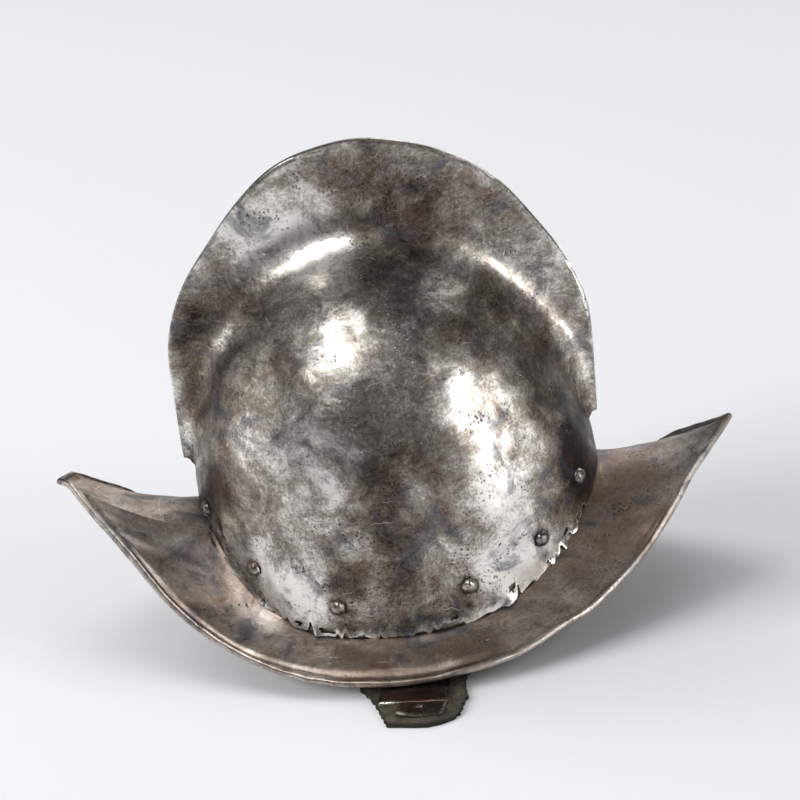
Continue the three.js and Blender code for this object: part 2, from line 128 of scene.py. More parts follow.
# How uneven each surface is: layers of strength in metres, width of the waves in metres, and seed. The
# strength of the layers of roll_thickness is a share of the roll's radius.
UNEVEN = {
    "bowl": [(0.00034, 0.060, 3), (0.00016, 0.026, 4), (0.00007, 0.0125, 5)],
    "bowl_edge": [(0.00035, 0.011, 41), (0.00022, 0.0040, 42)],
    "brim_outline": [(0.0003, 0.055, 21)],
    "brim_height": [(0.0004, 0.045, 22), (0.00012, 0.015, 23)],
    "roll_thickness": [(0.06, 0.025, 24), (0.02, 0.010, 25)],
    "brim_sheet": [(0.0003, 0.055, 26), (0.00009, 0.020, 27)],
    "flap": [(0.00025, 0.016, 51)],
    "lame": [(0.00008, 0.012, 57)],
}


def uneven(points, surface):
    """How far the named surface departs from its plain form at each point."""
    return sum(strength * ripple(points, width, seed) for strength, width, seed in UNEVEN[surface])


def resampled(line, count):
    """Points spread evenly along each row's polyline."""
    steps = np.linalg.norm(np.diff(line, axis=1), axis=2)
    along = np.concatenate([np.zeros((len(line), 1)), np.cumsum(steps, axis=1)], axis=1)
    result = np.empty((len(line), count, 3))
    for row in range(len(line)):
        wanted = along[row, -1] * np.linspace(0, 1, count)
        for axis in range(3):
            result[row, :, axis] = np.interp(wanted, along[row], line[row, :, axis])
    return result


WELD = 2e-6    # points closer than this become one


def welded(points, faces):
    """Points that coincide become one, and faces that shrink to a line are dropped."""
    keys = np.round(points / WELD).astype(np.int64)
    _, first, where = np.unique(keys, axis=0, return_index=True, return_inverse=True)
    kept = []
    for face in where.reshape(-1)[faces]:
        corners = [int(v) for k, v in enumerate(face) if v != face[k - 1]]
        if len(corners) > 2 and len(set(corners)) == len(corners):
            kept.append(corners)
    return points[first], kept, first


def loft_faces(rows, size, ring):
    """Quads between neighbouring closed loops of equal length."""
    i = np.arange(rows if ring else rows - 1)[:, None]
    j = np.arange(size)[None, :]
    ahead = (i + 1) % rows
    a, b = i * size + j, i * size + (j + 1) % size
    c, d = ahead * size + (j + 1) % size, ahead * size + j
    return np.stack([a, b, c, d], axis=2).reshape(-1, 4)


def make_object(name, points, faces, material, sharp=35, shades=None):
    """A closed mesh object whose faces point out, with named shade values on its vertices."""
    points, kept, first = welded(points, np.asarray(faces))
    volume = 0.0
    for corners in kept:
        a = points[corners[0]]
        for b, c in zip(corners[1:-1], corners[2:]):
            volume += a @ np.cross(points[b], points[c])
    if volume < 0:
        kept = [corners[::-1] for corners in kept]
    mesh = bpy.data.meshes.new(name)
    mesh.from_pydata(points.tolist(), [], kept)
    for key, values in (shades or {}).items():
        values = np.asarray(values, dtype=np.float32)[first]
        kind, field = ("FLOAT", "value") if values.ndim == 1 else ("FLOAT_VECTOR", "vector")
        mesh.attributes.new(key, kind, "POINT").data.foreach_set(field, values.ravel())
    mesh.materials.append(material)
    mesh.polygons.foreach_set("use_smooth", [True] * len(mesh.polygons))
    mesh.set_sharp_from_angle(angle=math.radians(sharp))
    mesh.update()
    obj = bpy.data.objects.new(name, mesh)
    bpy.context.collection.objects.link(obj)
    return obj


# ---- Bowl and comb ----------------------------------------------------------------------------

def seam_z(x):
    """Height of the seam between bowl and brim."""
    reach = np.minimum(np.abs(x) / BOWL_A, 1)
    shifted = np.abs(x + SEAM_SHIFT * (1 - reach)) / BOWL_A
    return SEAM_SIDE_Z + (SEAM_FRONT_Z - SEAM_SIDE_Z) * shifted ** SEAM_POWER


def bowl_distance(p):
    """Distance outside the bowl: an upright oval wall under a half ellipsoid."""
    rise = np.maximum(p[..., 2] - SPRING_Z, 0)
    x = p[..., 0] - BOWL_LEAN * np.minimum(rise / BOWL_RISE, 1)
    y = p[..., 1]
    scaled = np.sqrt((x / BOWL_A) ** 2 + (y / BOWL_B) ** 2 + (rise / BOWL_RISE) ** 2)
    slope = np.sqrt((x / BOWL_A**2) ** 2 + (y / BOWL_B**2) ** 2 + (rise / BOWL_RISE**2) ** 2)
    return scaled * (scaled - 1) / np.maximum(slope, 1e-6)


def shell_distance(p, combed):
    """Distance outside the whole sheet: bowl and comb run together through a hollow fillet."""
    bowl = bowl_distance(p)
    beside = p.copy()
    beside[..., 1] = 0
    thin = np.clip(1 - bowl_distance(beside) / COMB_TAPER, 0, 1) ** 2
    comb = np.abs(p[..., 1]) - mix(CREST_HALF, COMB_ROOT_HALF, thin)
    height = np.clip((p[..., 2] - NOTCH_Z) / (SPRING_Z + BOWL_RISE - NOTCH_Z), 0, 1)
    reach = mix(FILLET_NOTCH, FILLET_CROWN, np.sqrt(height))
    overlap = np.maximum(reach - np.abs(bowl - comb), 0) / reach
    joined = np.minimum(bowl, comb) - overlap**2 * reach / 4
    return np.where(combed, joined, bowl)


def slope_of(p, combed):
    """The sheet's distance at each point, and the direction in which it grows."""
    step = 1e-5
    value = shell_distance(p, combed)
    slope = np.empty_like(p)
    for axis in range(3):
        moved = p.copy()
        moved[..., axis] += step
        slope[..., axis] = (shell_distance(moved, combed) - value) / step
    return value, slope


def settled(p, level, combed):
    """Points moved onto the surface that lies at a given distance from the outer face."""
    p = p.copy()
    for _ in range(9):
        value, slope = slope_of(p, combed)
        size = np.maximum((slope**2).sum(axis=-1, keepdims=True), 0.05)
        p += slope * (level - value)[..., None] / size
    return p


def crown_line(angle):
    """The bowl's outline in the midplane, under the comb."""
    x = BOWL_A * np.cos(angle) + BOWL_LEAN * np.sin(angle)
    return np.stack([x, 0 * x, SPRING_Z + BOWL_RISE * np.sin(angle)], axis=-1)


def crest_line(angle):
    """The comb's outline: nearly upright ends and a squarish arch, beaten a little uneven."""
    end = COMB_CENTRE[1] - COMB_FOOT_Z
    arch = math.pi * COMB_RADII[1]
    along = np.clip((angle - FOOT_ANGLE) / (math.pi - 2 * FOOT_ANGLE), 0, 1) * (arch + 2 * end)
    turn = np.clip((along - end) / COMB_RADII[1], 0, math.pi)
    bulge = COMB_SQUARENESS * np.cos(4 * turn)
    for middle, spread, rise in COMB_SHOULDERS:
        bulge = bulge + rise * np.exp(-(((np.degrees(turn) - middle) / spread) ** 2))
    waver = (0.0003 * np.sin(9 * turn + 1.0) + 0.0002 * np.sin(17 * turn)) * np.sin(turn)
    x = COMB_CENTRE[0] + COMB_LEAN * np.sin(turn) + (COMB_RADII[0] + bulge + waver) * np.cos(turn)
    z = COMB_CENTRE[1] + (COMB_RADII[1] + bulge + waver) * np.sin(turn)
    drop = np.maximum(1 - along / end, 0) + np.maximum((along - end - arch) / end, 0)
    half = mix(COMB_RADII[0] + COMB_SQUARENESS, COMB_FOOT_HALF_LENGTH, drop**2)
    upright = drop > 0
    x = np.where(upright, COMB_CENTRE[0] + np.where(angle < math.pi / 2, half, -half), x)
    z = np.where(upright, COMB_CENTRE[1] - end * drop, z)
    return np.stack([x, 0 * x, z], axis=-1)


def skull_stations(count):
    """The angles of the rows from front to back: a few under each notch, and the rest under the comb."""
    ends = np.linspace(0, NOTCH_ANGLE, NOTCH_ROWS)
    middle = np.linspace(FOOT_ANGLE, math.pi - FOOT_ANGLE, count)
    return np.concatenate([ends, middle, (math.pi - ends)[::-1]])


def skull_side(angles, level, columns, comb_share, rim_lift, round_crest):
    """One side of the sheet, row by row from the seam up to the midplane. columns counts the points on
    the upright wall, on the dome and on the comb; comb_share says how far up the comb each row goes."""
    wall, dome, comb = columns
    combed = ((angles > NOTCH_ANGLE + 1e-6) & (angles < math.pi - NOTCH_ANGLE - 1e-6))[:, None]
    a, b = BOWL_A + level, BOWL_B + level
    x, y = a * np.cos(angles), -b * np.sin(angles)
    rim = seam_z(BOWL_A * np.cos(angles)) + rim_lift
    share = np.linspace(0, 1, wall) ** 1.5
    upright = np.stack([
        np.repeat(x[:, None], wall, axis=1),
        np.repeat(y[:, None], wall, axis=1),
        mix(rim[:, None], SPRING_Z, share[None, :]),
    ], axis=-1)
    limit = np.arccos(np.minimum(0.95, 0.010 / np.maximum(b * np.sin(angles), 1e-9)))
    stop = np.where(combed[:, 0], limit, math.pi / 2)
    up = stop[:, None] * np.linspace(0, 1, 40)[None, :]
    sine = np.sin(angles)[:, None] * np.sin(up)
    bowl = np.stack([
        x[:, None] + BOWL_LEAN * sine,
        y[:, None] * np.cos(up),
        SPRING_Z + (BOWL_RISE + level) * sine,
    ], axis=-1)
    start, end = crown_line(angles), crest_line(angles)
    height = np.linalg.norm(end - start, axis=1)
    top_share = comb_share(height)[:, None, None]
    plate = mix(start[:, None], end[:, None], top_share * np.linspace(0.02, 1, 30)[None, :, None])
    plate[..., 1] = -np.maximum(CREST_HALF + level, 0.0006)
    turn = np.linspace(0, 1, 12)[None, 1:-1, None]
    corner = mix(bowl[:, -1:], plate[:, :1], turn)
    lower = settled(np.concatenate([bowl, corner, plate[:, :1]], axis=1), level, combed)
    lower[:, 0] = bowl[:, 0]
    upper = settled(plate, level, combed)
    if round_crest:
        upper[:, -1] = plate[:, -1]
    lone = ~combed[:, 0]
    pole = bowl[:, -1].copy()
    pole[:, 1] = 0
    flat = np.concatenate([bowl, np.repeat(bowl[:, -1:], 11, axis=1)], axis=1)
    lower[lone] = flat[lone]
    upper[lone] = pole[lone][:, None]
    lower, upper = resampled(lower, dome), resampled(upper, comb)
    centre = upper[:, -1].copy()
    centre[:, 1] = 0
    closing = [centre[:, None]]
    if round_crest:
        outward = (end - start) / np.maximum(height, 1e-9)[:, None] * combed
        shoulder = centre + 0.0005 * outward
        shoulder[:, 1] = 0.62 * upper[:, -1, 1]
        closing = [shoulder[:, None], (centre + 0.0008 * outward)[:, None]]
    return np.concatenate([upright[:, :-1], lower, upper[:, 1:], *closing], axis=1)


# Damage along the bowl's lower edge on the right side: where it is along the helmet,
# half its width, and how far it eats up into the edge.
EDGE_NICKS = [
    (-0.0990, 0.0052, 0.0120), (-0.0870, 0.0010, 0.0030), (-0.0840, 0.0016, 0.0020),
    (-0.0705, 0.0015, 0.0038), (-0.0655, 0.0008, 0.0026), (-0.0535, 0.0012, 0.0058),
    (-0.0400, 0.0009, 0.0018), (-0.0360, 0.0012, 0.0028), (-0.0270, 0.0035, 0.0012),
    (-0.0180, 0.0006, 0.0022), (0.0030, 0.0030, 0.0012), (0.0095, 0.0012, 0.0026),
    (0.0170, 0.0050, 0.0034), (0.0250, 0.0009, 0.0020), (0.0550, 0.0009, 0.0062),
    (0.0630, 0.0022, 0.0018), (0.0720, 0.0011, 0.0040), (0.0765, 0.0008, 0.0026),
    (0.0800, 0.0010, 0.0036), (0.0850, 0.0013, 0.0030), (0.0905, 0.0008, 0.0044),
    (0.0945, 0.0012, 0.0034),
]
# Holes just above that edge: place along the helmet, height over the seam, half width, half height.
EDGE_HOLES = [
    (-0.0775, 0.0044, 0.0019, 0.0028), (-0.0595, 0.0030, 0.0020, 0.0012),
    (-0.0455, 0.0030, 0.0040, 0.0016), (0.0522, 0.0062, 0.0019, 0.0020),
    (0.0205, 0.0052, 0.0022, 0.0011), (0.0835, 0.0058, 0.0014, 0.0013),
]
# Places where the edge is bent outwards: place, half width, distance.
EDGE_LIPS = [
    (-0.0500, 0.0022, 0.0022), (-0.0775, 0.0040, 0.0008), (0.0500, 0.0050, 0.0022),
    (0.0745, 0.0030, 0.0020), (0.0815, 0.0022, 0.0026), (0.0885, 0.0030, 0.0022),
    (-0.0930, 0.0050, 0.0014), (0.0130, 0.0040, 0.0012),
]
# How bright the lower edge is, point by point upwards, the points up the wall with the holes, and the
# points over which the crest's brightness fades.
EDGE_SHINE = (2.0, 2.0, 1.7, 1.0)
WALL_POINTS = 22
CREST_FADE = 5
SIDES_APART = 0.030
# How much darker the bowl and the brim are along the seam: strength, and how far it reaches.
BOWL_SEAM_DARKENING = (0.40, 0.003)
BRIM_SEAM_DARKENING = (0.62, 0.0026)


def rim_lift(angles, side):
    """How far the bowl's ragged lower edge stands above the plain seam."""
    x = BOWL_A * np.cos(angles)
    spots = np.stack([x, np.full_like(x, side * 0.09), 0 * x], axis=-1)
    lift = uneven(spots, "bowl_edge")
    for place, width, depth in EDGE_NICKS:
        here = place if side < 0 else 0.83 * place + 0.006
        lift += depth * np.exp(-(((x - here) / width) ** 4)) * (1.0 if side < 0 else 0.7)
    return lift * smooth(np.sin(angles), 0.02, 0.16)


def dented(points, outside):
    """The hammered unevenness of the sheet, the same on both of its faces."""
    _, slope = slope_of(points, np.ones(points.shape[:-1], dtype=bool))
    slope /= np.maximum(np.linalg.norm(slope, axis=-1, keepdims=True), 1e-6)
    where = points.copy()
    # Drawn apart, so that the comb's two faces are not uneven in the same way.
    where[..., 1] += SIDES_APART * np.tanh(points[..., 1] / 0.002)
    depth = uneven(where, "bowl")
    on_comb = smooth(-bowl_distance(points * [1, 0, 1]), -0.004, -0.012)
    depth *= mix(1.0, 0.55, on_comb)
    return points + slope * depth[..., None] * outside


class SkullSettings(bpy.types.PropertyGroup):
    """Sizes and finish of the bowl and comb."""
    rows: IntProperty(name="Rows", description="Rows of faces from front to back", default=330, min=60)
    dents: FloatProperty(
        name="Dents", description="Strength of the hammered unevenness", default=1.0, min=0)


# The seed that breaks up the outlines of each kind of mark.
SPOT_SEEDS = {"bowl_worn_and_highlight": 61, "bowl_stained": 71, "grime_and_shade_spots": 75, "brim_worn": 81, "brim_stained": 91}
# Large marks on the right side: x, z, the two half sizes and the strength.
# Rubbed metal; the spots at x 42 and 49 mm brighten the steel under the strip light's reflection, a painted
# highlight.
WORN_AND_HIGHLIGHT_SPOTS = [
    (-0.042, 0.216, 0.028, 0.020, 2.0), (-0.020, 0.208, 0.022, 0.008, 0.8),
    (0.076, 0.184, 0.022, 0.020, 0.3), (0.105, 0.140, 0.010, 0.026, 0.4),
    (-0.052, 0.128, 0.022, 0.024, 0.8), (-0.034, 0.101, 0.012, 0.034, 0.9),
    (0.057, 0.050, 0.030, 0.017, 1.8), (-0.062, 0.047, 0.022, 0.014, 1.9),
    (-0.081, 0.062, 0.014, 0.018, 1.3), (0.049, 0.108, 0.014, 0.034, 1.3),
    (0.042, 0.140, 0.012, 0.020, 0.9), (0.047, 0.041, 0.012, 0.009, 1.8),
    (-0.106, 0.112, 0.006, 0.014, 0.8), (-0.046, 0.036, 0.020, 0.010, 1.7),
    (-0.022, 0.172, 0.020, 0.018, 0.7),
]
# Dark marks: grime, and the first one darkens the gap at the back of the lower edge as painted shade.
GRIME_AND_SHADE_SPOTS = [
    (-0.097, 0.070, 0.005, 0.016, 1.3), (0.022, 0.026, 0.006, 0.004, 1.0),
    (0.012, 0.025, 0.003, 0.003, 0.8), (-0.070, 0.036, 0.003, 0.004, 0.7),
    (0.088, 0.056, 0.004, 0.006, 0.8),
]
STAINED_SPOTS = [
    (-0.101, 0.138, 0.010, 0.022, 1.0), (-0.097, 0.170, 0.012, 0.020, 1.1),
    (-0.073, 0.192, 0.018, 0.014, 0.5), (-0.042, 0.244, 0.018, 0.006, 0.9),
    (0.000, 0.234, 0.022, 0.022, 0.9), (0.035, 0.224, 0.022, 0.016, 0.7),
    (-0.085, 0.132, 0.014, 0.024, 0.6), (-0.005, 0.105, 0.018, 0.036, 0.9),
    (-0.004, 0.062, 0.016, 0.026, 0.8), (-0.034, 0.050, 0.010, 0.026, 1.3),
    (0.050, 0.172, 0.020, 0.014, 0.9), (0.079, 0.138, 0.014, 0.024, 0.9),
    (0.092, 0.092, 0.012, 0.032, 1.9), (0.018, 0.058, 0.014, 0.022, 0.6),
    (0.014, 0.203, 0.026, 0.010, 1.0), (-0.094, 0.102, 0.010, 0.018, 0.7),
    (0.010, 0.030, 0.024, 0.012, 1.1),
]


def spotted(points, spots, kind):
    """A soft field of marks whose edges are broken up; the left side carries them in other places."""
    seed = SPOT_SEEDS[kind]
    warped_x = points[:, 0] + 0.004 * ripple(points, 0.03, seed)
    warped_z = points[:, 2] + 0.004 * ripple(points, 0.03, seed + 1)
    left = points[:, 1] > 0
    total = np.zeros(len(points))
    for x, z, wide, high, strength in spots:
        x = np.where(left, 0.012 - 0.9 * x, x)
        far = ((warped_x - x) / wide) ** 2 + ((warped_z - z) / high) ** 2
        total = np.maximum(total, strength * np.exp(-far))
    return total


class MORION_OT_skull(bpy.types.Operator):
    """Build the bowl and comb as one thick sheet with its ragged lower edge"""
    bl_idname = "morion.skull"
    bl_label = "Bowl and comb"

    def execute(self, context):
        settings = context.scene.morion.skull
        angles = skull_stations(settings.rows)
        whole = (WALL_POINTS, 46, 22)
        inside = (WALL_POINTS, 22, 6)

        def outer(side):
            """The outer face on one side."""
            return skull_side(angles, 0.0, whole, lambda h: np.ones_like(h), rim_lift(angles, side), True)

        def inner(side):
            """The inner face on one side, which runs a little way up into the comb."""
            def share(height):
                return np.minimum(COMB_HOLLOW / np.maximum(height, 1e-6), 0.55)
            return skull_side(angles, -WALL, inside, share, rim_lift(angles, side), False)

        flip = np.array([1, -1, 1])
        near_out, far_out = outer(-1), outer(1) * flip
        near_in, far_in = inner(-1), inner(1) * flip
        outer_count = near_out.shape[1]
        loops = np.concatenate(
            [near_out, far_out[:, -2::-1], far_in, near_in[:, -2::-1]], axis=1)
        rows, size = loops.shape[:2]
        loops = self.bent_edge(loops)
        loops = dented(loops, settings.dents)
        faces = loft_faces(rows, size, ring=False)
        faces = self.pierced(loops, faces, rows, size)
        points = loops.reshape(-1, 3)
        inside_mask = np.zeros((rows, size))
        inside_mask[:, 2 * outer_count - 1:] = 1
        crest = np.zeros((rows, size))
        middle = outer_count - 1
        for offset in range(1 - CREST_FADE, CREST_FADE):
            crest[NOTCH_ROWS:-NOTCH_ROWS, middle + offset] = 1 - abs(offset) / CREST_FADE
        height = points[:, 2] - seam_z(points[:, 0])
        # Darker along the seam, a painted contact shadow round each rivet head, and dark spots of grime and
        # painted shade.
        grime_and_shade = np.maximum.reduce([
            BOWL_SEAM_DARKENING[0] * np.exp(-np.maximum(height, 0) / BOWL_SEAM_DARKENING[1]), rivet_shadow_rings(points),
            spotted(points, GRIME_AND_SHADE_SPOTS, "grime_and_shade_spots")])
        crest[:, :len(EDGE_SHINE)] = EDGE_SHINE
        last = 2 * outer_count - 1
        crest[:, last - len(EDGE_SHINE):last] = EDGE_SHINE[::-1]
        steps = np.linalg.norm(np.diff(loops, axis=1), axis=2)
        up = np.concatenate([np.zeros((rows, 1)), np.cumsum(steps, axis=1)], axis=1)
        across = np.repeat(BOWL_A * angles[:, None], size, axis=1)
        shades = {
            "worn": spotted(points, WORN_AND_HIGHLIGHT_SPOTS, "bowl_worn_and_highlight"),
            "stain_and_shade": spotted(points, STAINED_SPOTS, "bowl_stained"),
            "inside": inside_mask.reshape(-1),
            "edge": crest.reshape(-1),
            "grime_and_shade": grime_and_shade,
            "lie": np.stack([across, up, 0 * up], axis=-1).reshape(-1, 3),
        }
        steel = worn_steel(
            "Forged steel, rubbed and patinated", context.scene.morion.steel, SKULL_FINISH)
        skull = make_object("skull_sheet", points, faces, steel, sharp=50, shades=shades)
        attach(skull, "root")
        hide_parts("skull")
        return {"FINISHED"}

    def bent_edge(self, loops):
        """Bends the lower edge out over the brim at its lips."""
        x, y = loops[..., 0], loops[..., 1]
        height = loops[..., 2] - seam_z(x)
        push = np.zeros_like(x)
        for place, width, distance in EDGE_LIPS:
            push += distance * np.exp(-(((x - place) / width) ** 2)) * np.exp(-np.maximum(height, 0) / 0.003)
        push *= np.where(y < 0, 1.0, 0.6) * smooth(np.abs(y), 0.006, 0.02)
        length = np.maximum(np.hypot(x / BOWL_A**2, y / BOWL_B**2), 1e-9)
        bent = loops.copy()
        bent[..., 0] += push * x / BOWL_A**2 / length
        bent[..., 1] += push * y / BOWL_B**2 / length
        return bent

    def pierced(self, loops, faces, rows, size):
        """Leaves out the faces of each hole, on both faces of the wall, and walls its edge."""
        wall = WALL_POINTS - 1
        i = np.arange(rows - 1)[:, None]
        j = np.arange(wall)[None, :]
        centre = (loops[i, j] + loops[i + 1, j] + loops[i, j + 1] + loops[i + 1, j + 1]) / 4
        height = centre[..., 2] - seam_z(centre[..., 0])
        open_cell = np.zeros(height.shape, dtype=bool)
        for place, over, wide, high in EDGE_HOLES:
            far = np.abs((centre[..., 0] - place) / wide) ** 3 + np.abs((height - over) / high) ** 3
            open_cell |= far < 1
        keep = np.ones(len(faces), dtype=bool)
        index = np.arange(len(faces)).reshape(rows - 1, size)
        keep[index[:, :wall][open_cell]] = False
        inner = index[:, size - 1 - wall:size - 1][:, ::-1]
        keep[inner[open_cell]] = False
        walls = []

        def corner(row, column):
            """The indices of one corner on the outer and the inner face."""
            return row * size + column, row * size + size - 1 - column

        for row, column in zip(*np.nonzero(open_cell)):
            sides = [
                ((row, column), (row, column + 1), row == 0 or not open_cell[row - 1, column]),
                ((row, column + 1), (row + 1, column + 1),
                 column == wall - 1 or not open_cell[row, column + 1]),
                ((row + 1, column + 1), (row + 1, column), not open_cell[row + 1, column]),
                ((row + 1, column), (row, column), column == 0 or not open_cell[row, column - 1]),
            ]
            for start, end, bare in sides:
                if bare:
                    (a, a_in), (b, b_in) = corner(*start), corner(*end)
                    walls.append([a, b, b_in, a_in])
        return np.concatenate([faces[keep], np.array(walls, dtype=int).reshape(-1, 4)])


# ---- Brim -------------------------------------------------------------------------------------

# The rolled edge seen from the side: its lowest height, its rise to the points and the power of that rise;
# a swell before the points, with its share of the rise, place and spread; and how far its lowest place
# lies behind the middle, how much of that is taken back towards the points and with what power.
EDGE_LOW = 0.008
EDGE_RISE = 0.0835
EDGE_POWER = 2.65
EDGE_SWELL = (0.085, 0.855, 0.12)
EDGE_SHIFT = (0.014, 0.021, 1.3)
# The brim's section: how far out the sheet starts, how deep it sags towards the points, the hollow inside
# the rolled edge (depth, distance from the roll, spread), how far the sheet meets the roll below its
# middle, and the roll's turn in degrees.
SHEET_START = 0.0025
SHEET_SAG = 0.005
EDGE_HOLLOW = (0.0010, 0.0034, 0.0022)
SHEET_DROP = 0.0004
ROLL_TURN = (150, -115)
# Points across the sheet and around the roll.
SHEET_POINTS = 34
ROLL_POINTS = 13


def brim_edge(angle, half_length, half_width):
    """Middle of the rolled edge: a pointed boat from above and a crescent from the side."""
    x = half_length * np.cos(angle)
    reach = np.abs(np.cos(angle))
    y = -half_width * (1 - reach**2)
    behind, taken, power = EDGE_SHIFT
    along = np.minimum(np.abs(x + behind - taken * reach**power) / half_length, 1)
    swell, place, spread = EDGE_SWELL
    sweep = along**EDGE_POWER + swell * np.exp(-(((along - place) / spread) ** 2))
    return np.stack([x, y, EDGE_LOW + EDGE_RISE * sweep], axis=-1)


def wall_line(angle, depth, z):
    """Points on the bowl's wall, moved in by a depth and raised to a height."""
    x, y = (BOWL_A - depth) * np.cos(angle), -(BOWL_B - depth) * np.sin(angle)
    p = np.stack([x, y, z + 0 * angle], axis=-1)
    domed = settled(p, -depth, np.zeros(len(p), dtype=bool))
    return np.where((p[:, 2] > SPRING_Z)[:, None], domed, p)


class BrimSettings(bpy.types.PropertyGroup):
    """Sizes and finish of the brim."""
    rows: IntProperty(name="Rows", description="Rows of faces along each side", default=300, min=60)
    half_length: FloatProperty(
        name="Half length", description="From the middle to a point's rolled edge", unit="LENGTH",
        default=BRIM_HALF_LENGTH, min=0.12)
    half_width: FloatProperty(
        name="Half width", description="From the midplane to the side's rolled edge", unit="LENGTH",
        default=BRIM_HALF_WIDTH, min=0.1)


class MORION_OT_brim(bpy.types.Operator):
    """Build the brim: flange, swept sheet, hollow inside its edge and the rolled edge"""
    bl_idname = "morion.brim"
    bl_label = "Brim"

    def execute(self, context):
        settings = context.scene.morion.brim
        angles = np.linspace(0, math.pi, settings.rows)
        # More rows towards the two points, where the outline turns fastest.
        angles -= 0.35 * np.sin(2 * angles) / 2 * 0.6
        near = self.side(angles, settings, -1)
        far = self.side(angles, settings, 1) * np.array([1, -1, 1])
        far[0], far[-1] = near[0], near[-1]
        loops = np.concatenate([near, far[-2:0:-1]])
        rows, size = loops.shape[:2]
        points = loops.reshape(-1, 3)
        roll = np.zeros((rows, size))
        roll[:, self.roll_start:self.roll_end] = 1
        under = np.zeros((rows, size))
        under[:, self.roll_end:] = 1
        shades = {
            "worn": spotted(points, BRIM_WORN, "brim_worn"),
            "stain_and_shade": spotted(points, BRIM_STAINED, "brim_stained"),
            "inside": under.reshape(-1),
            "edge": roll.reshape(-1),
            # Darker along the seam, and dark spots of grime and painted shade.
            "grime_and_shade": np.maximum(
                BRIM_SEAM_DARKENING[0] * np.exp(-np.abs(bowl_distance(points)) / BRIM_SEAM_DARKENING[1]),
                spotted(points, GRIME_AND_SHADE_SPOTS, "grime_and_shade_spots")),
            "lie": self.lie(loops),
        }
        steel = worn_steel(
            "Steel sheet, brown and rubbed smooth", context.scene.morion.steel, BRIM_FINISH)
        brim = make_object(
            "brim_sheet", points, loft_faces(rows, size, ring=True), steel, sharp=60, shades=shades)
        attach(brim, "root")
        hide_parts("brim")
        return {"FINISHED"}

    def lie(self, loops):
        """Each point's place along the brim and across its sheet."""
        middle = loops[:, self.roll_start]
        steps = np.linalg.norm(middle - np.roll(middle, 1, axis=0), axis=1)
        along = np.repeat(np.cumsum(steps)[:, None], loops.shape[1], axis=1)
        across = np.linalg.norm(loops - middle[:, None], axis=2)
        return np.stack([along, across, 0 * along], axis=-1).reshape(-1, 3)

    def side(self, angles, settings, side):
        """Closed sections of one side, as rows of points."""
        outer_depth = WALL + GAP
        inner_depth = outer_depth + BRIM_SHEET
        seam = seam_z(BOWL_A * np.cos(angles))
        shelf = seam - 1.5 * GAP
        top = seam + FLANGE_HEIGHT
        inner = wall_line(angles, outer_depth, shelf)
        edge = brim_edge(angles, settings.half_length, settings.half_width)
        across = (edge - inner) * [1, 1, 0]
        width = np.linalg.norm(across, axis=1)[:, None]
        out = across / width
        marks = edge * [1, -side, 1]
        ends = smooth(np.abs(np.sin(angles)), 0.02, 0.2)
        edge = edge + out * (uneven(marks, "brim_outline") * ends)[:, None]
        edge[:, 2] += uneven(marks, "brim_height") * ends
        thick = 1 + uneven(marks, "roll_thickness") * ends
        start = inner + SHEET_START * out
        reach = width - SHEET_START - 0.9 * ROLL_RADIUS
        hollow_depth, hollow_place, hollow_spread = EDGE_HOLLOW

        def sheet_top(u):
            """The sheet's upper face at the share u of the way out."""
            sag = SHEET_SAG * np.cos(angles) ** 2 * 4 * u * (1 - u)
            inwards = (1 - u) * reach[:, 0]
            hollow = hollow_depth * np.exp(-((inwards - hollow_place) / hollow_spread) ** 2)
            hollow *= smooth(np.sin(angles), 0.0, 0.3)
            p = start + reach * u * out
            p[:, 2] = mix(shelf, edge[:, 2] - SHEET_DROP, u) - sag - hollow
            spot = p * [1, -side, 1]
            fade = smooth(np.array(u), 0.0, 0.15) * smooth(1 - np.array(u), 0.0, 0.1)
            p[:, 2] += uneven(spot, "brim_sheet") * fade * ends
            return p

        steps = 1 - np.linspace(1, 0, SHEET_POINTS) ** 1.5
        face = [sheet_top(u) for u in steps]
        back = []
        for p in face[-2::-1]:
            lowered = p.copy()
            lowered[:, 2] -= 1.15 * BRIM_SHEET
            back.append(lowered)
        roll = []
        for degrees in np.linspace(*ROLL_TURN, ROLL_POINTS):
            turn = math.radians(degrees)
            p = edge + out * (ROLL_RADIUS * math.cos(turn) * thick)[:, None]
            p[:, 2] += ROLL_RADIUS * math.sin(turn) * thick
            roll.append(p)
        flange = [wall_line(angles, outer_depth, mix(top, shelf, t)) for t in (0, 0.35, 0.7, 0.92)]
        lining = [wall_line(angles, inner_depth, mix(shelf + 0.0005, top, t))
                  for t in (0, 0.1, 0.3, 0.65, 1)]
        self.roll_start = len(flange) + 1 + len(face)
        self.roll_end = self.roll_start + len(roll)
        return np.stack([*flange, inner, *face, *roll, *back, *lining], axis=1)


BRIM_WORN = [
    (-0.120, 0.060, 0.030, 0.020, 0.6), (0.150, 0.075, 0.016, 0.020, 0.9),
    (-0.070, 0.020, 0.030, 0.010, 0.5), (0.070, 0.020, 0.030, 0.010, 0.4),
    (-0.150, 0.080, 0.020, 0.010, 0.5),
]
BRIM_STAINED = [
    (0.110, 0.050, 0.022, 0.020, 0.6), (0.000, 0.012, 0.040, 0.008, 0.5),
    (-0.040, 0.010, 0.030, 0.006, 0.5), (0.125, 0.080, 0.024, 0.008, 0.6),
    (-0.130, 0.078, 0.020, 0.006, 0.4),
]


# ---- Rivets -----------------------------------------------------------------------------------

# Shank and hammered-over tail, with their middles' heights over the bowl's outer face.
SHANK_RADIUS = 0.0014
SHANK_LENGTH = 0.0060
SHANK_MIDDLE = -0.0029
TAIL_RADII = (0.0026, 0.0026, 0.0010)
TAIL_MIDDLE = -0.0062
# The ring of painted shadow around a head.
RING_RADIUS = 0.0044
RING_WIDTH = 0.0016


